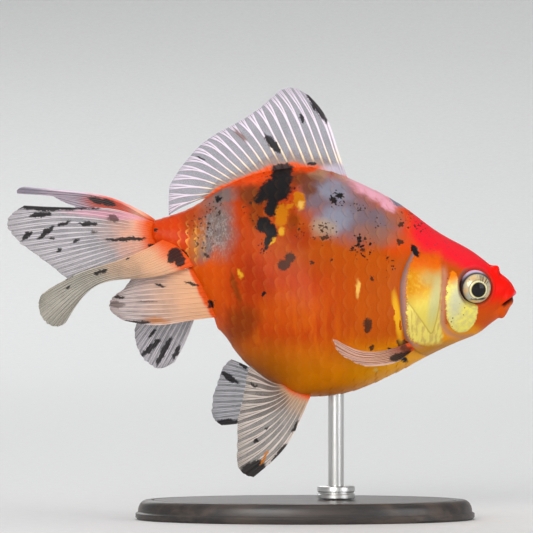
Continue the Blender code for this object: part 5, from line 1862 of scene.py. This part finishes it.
class GOLDFISH_OT_skin(bpy.types.Operator):
    """Make the one skin that covers head, trunk and tail root"""

    bl_idname = "goldfish.skin"
    bl_label = "Add skin"

    def execute(self, context):
        make_skin(context.scene.goldfish_skin)
        return {"FINISHED"}


class GOLDFISH_OT_scales(bpy.types.Operator):
    """Lay the scales over the skin, row by row"""

    bl_idname = "goldfish.scales"
    bl_label = "Add scales"

    def execute(self, context):
        settings = context.scene.goldfish_skin
        paint = fish_paint("goldfish scales", settings, False)
        for name, side in (("scales_right", -1), ("scales_left", 1)):
            finish_piece(make_scales(name, side, settings), paint)
        return {"FINISHED"}


class GOLDFISH_OT_eyes(bpy.types.Operator):
    """Set the two eyes into their sockets"""

    bl_idname = "goldfish.eyes"
    bl_label = "Add eyes"

    def execute(self, context):
        settings = context.scene.goldfish_eyes
        material = eye_paint(settings)
        for name, side in (("eye_right", -1), ("eye_left", 1)):
            make_eye(name, side, settings, material)
        return {"FINISHED"}


class GOLDFISH_OT_fins(bpy.types.Operator):
    """Spread the eleven fins on their rays"""

    bl_idname = "goldfish.fins"
    bl_label = "Add fins"

    def execute(self, context):
        for name, look in FINS.items():
            make_fin(name, look, context.scene.goldfish_fins)
        return {"FINISHED"}


class GOLDFISH_OT_stand(bpy.types.Operator):
    """Turn the stand's base, collar and rod"""

    bl_idname = "goldfish.stand"
    bl_label = "Add stand"

    def execute(self, context):
        make_stand(context.scene.goldfish_stage)
        return {"FINISHED"}


class GOLDFISH_OT_stage(bpy.types.Operator):
    """Set up the floor, lights and camera"""

    bl_idname = "goldfish.stage"
    bl_label = "Add studio"

    def execute(self, context):
        make_stage(context.scene.goldfish_stage)
        return {"FINISHED"}


OPERATORS = (
    GOLDFISH_OT_skin,
    GOLDFISH_OT_scales,
    GOLDFISH_OT_eyes,
    GOLDFISH_OT_fins,
    GOLDFISH_OT_stand,
    GOLDFISH_OT_stage,
)


class GOLDFISH_PT_panel(bpy.types.Panel):
    """Lists the goldfish's settings and its operators"""

    bl_idname = "GOLDFISH_PT_panel"
    bl_label = "Goldfish"
    bl_space_type = "VIEW_3D"
    bl_region_type = "UI"
    bl_category = "Goldfish"

    def draw(self, context):
        for group in SETTINGS:
            box = self.layout.box()
            settings = getattr(context.scene, group)
            for name in settings.__annotations__:
                box.prop(settings, name)
        for operator in OPERATORS:
            self.layout.operator(operator.bl_idname)


def register():
    for name, group in SETTINGS.items():
        bpy.utils.register_class(group)
        setattr(bpy.types.Scene, name, PointerProperty(type=group))
    for made in (*OPERATORS, GOLDFISH_PT_panel):
        bpy.utils.register_class(made)


def unregister():
    for made in (GOLDFISH_PT_panel, *reversed(OPERATORS)):
        bpy.utils.unregister_class(made)
    for name, group in reversed(SETTINGS.items()):
        delattr(bpy.types.Scene, name)
        bpy.utils.unregister_class(group)


def main():
    register()
    for operator in ("skin", "scales", "eyes", "fins", "stand", "stage"):
        getattr(bpy.ops.goldfish, operator)()


if __name__ == "__main__":
    main()
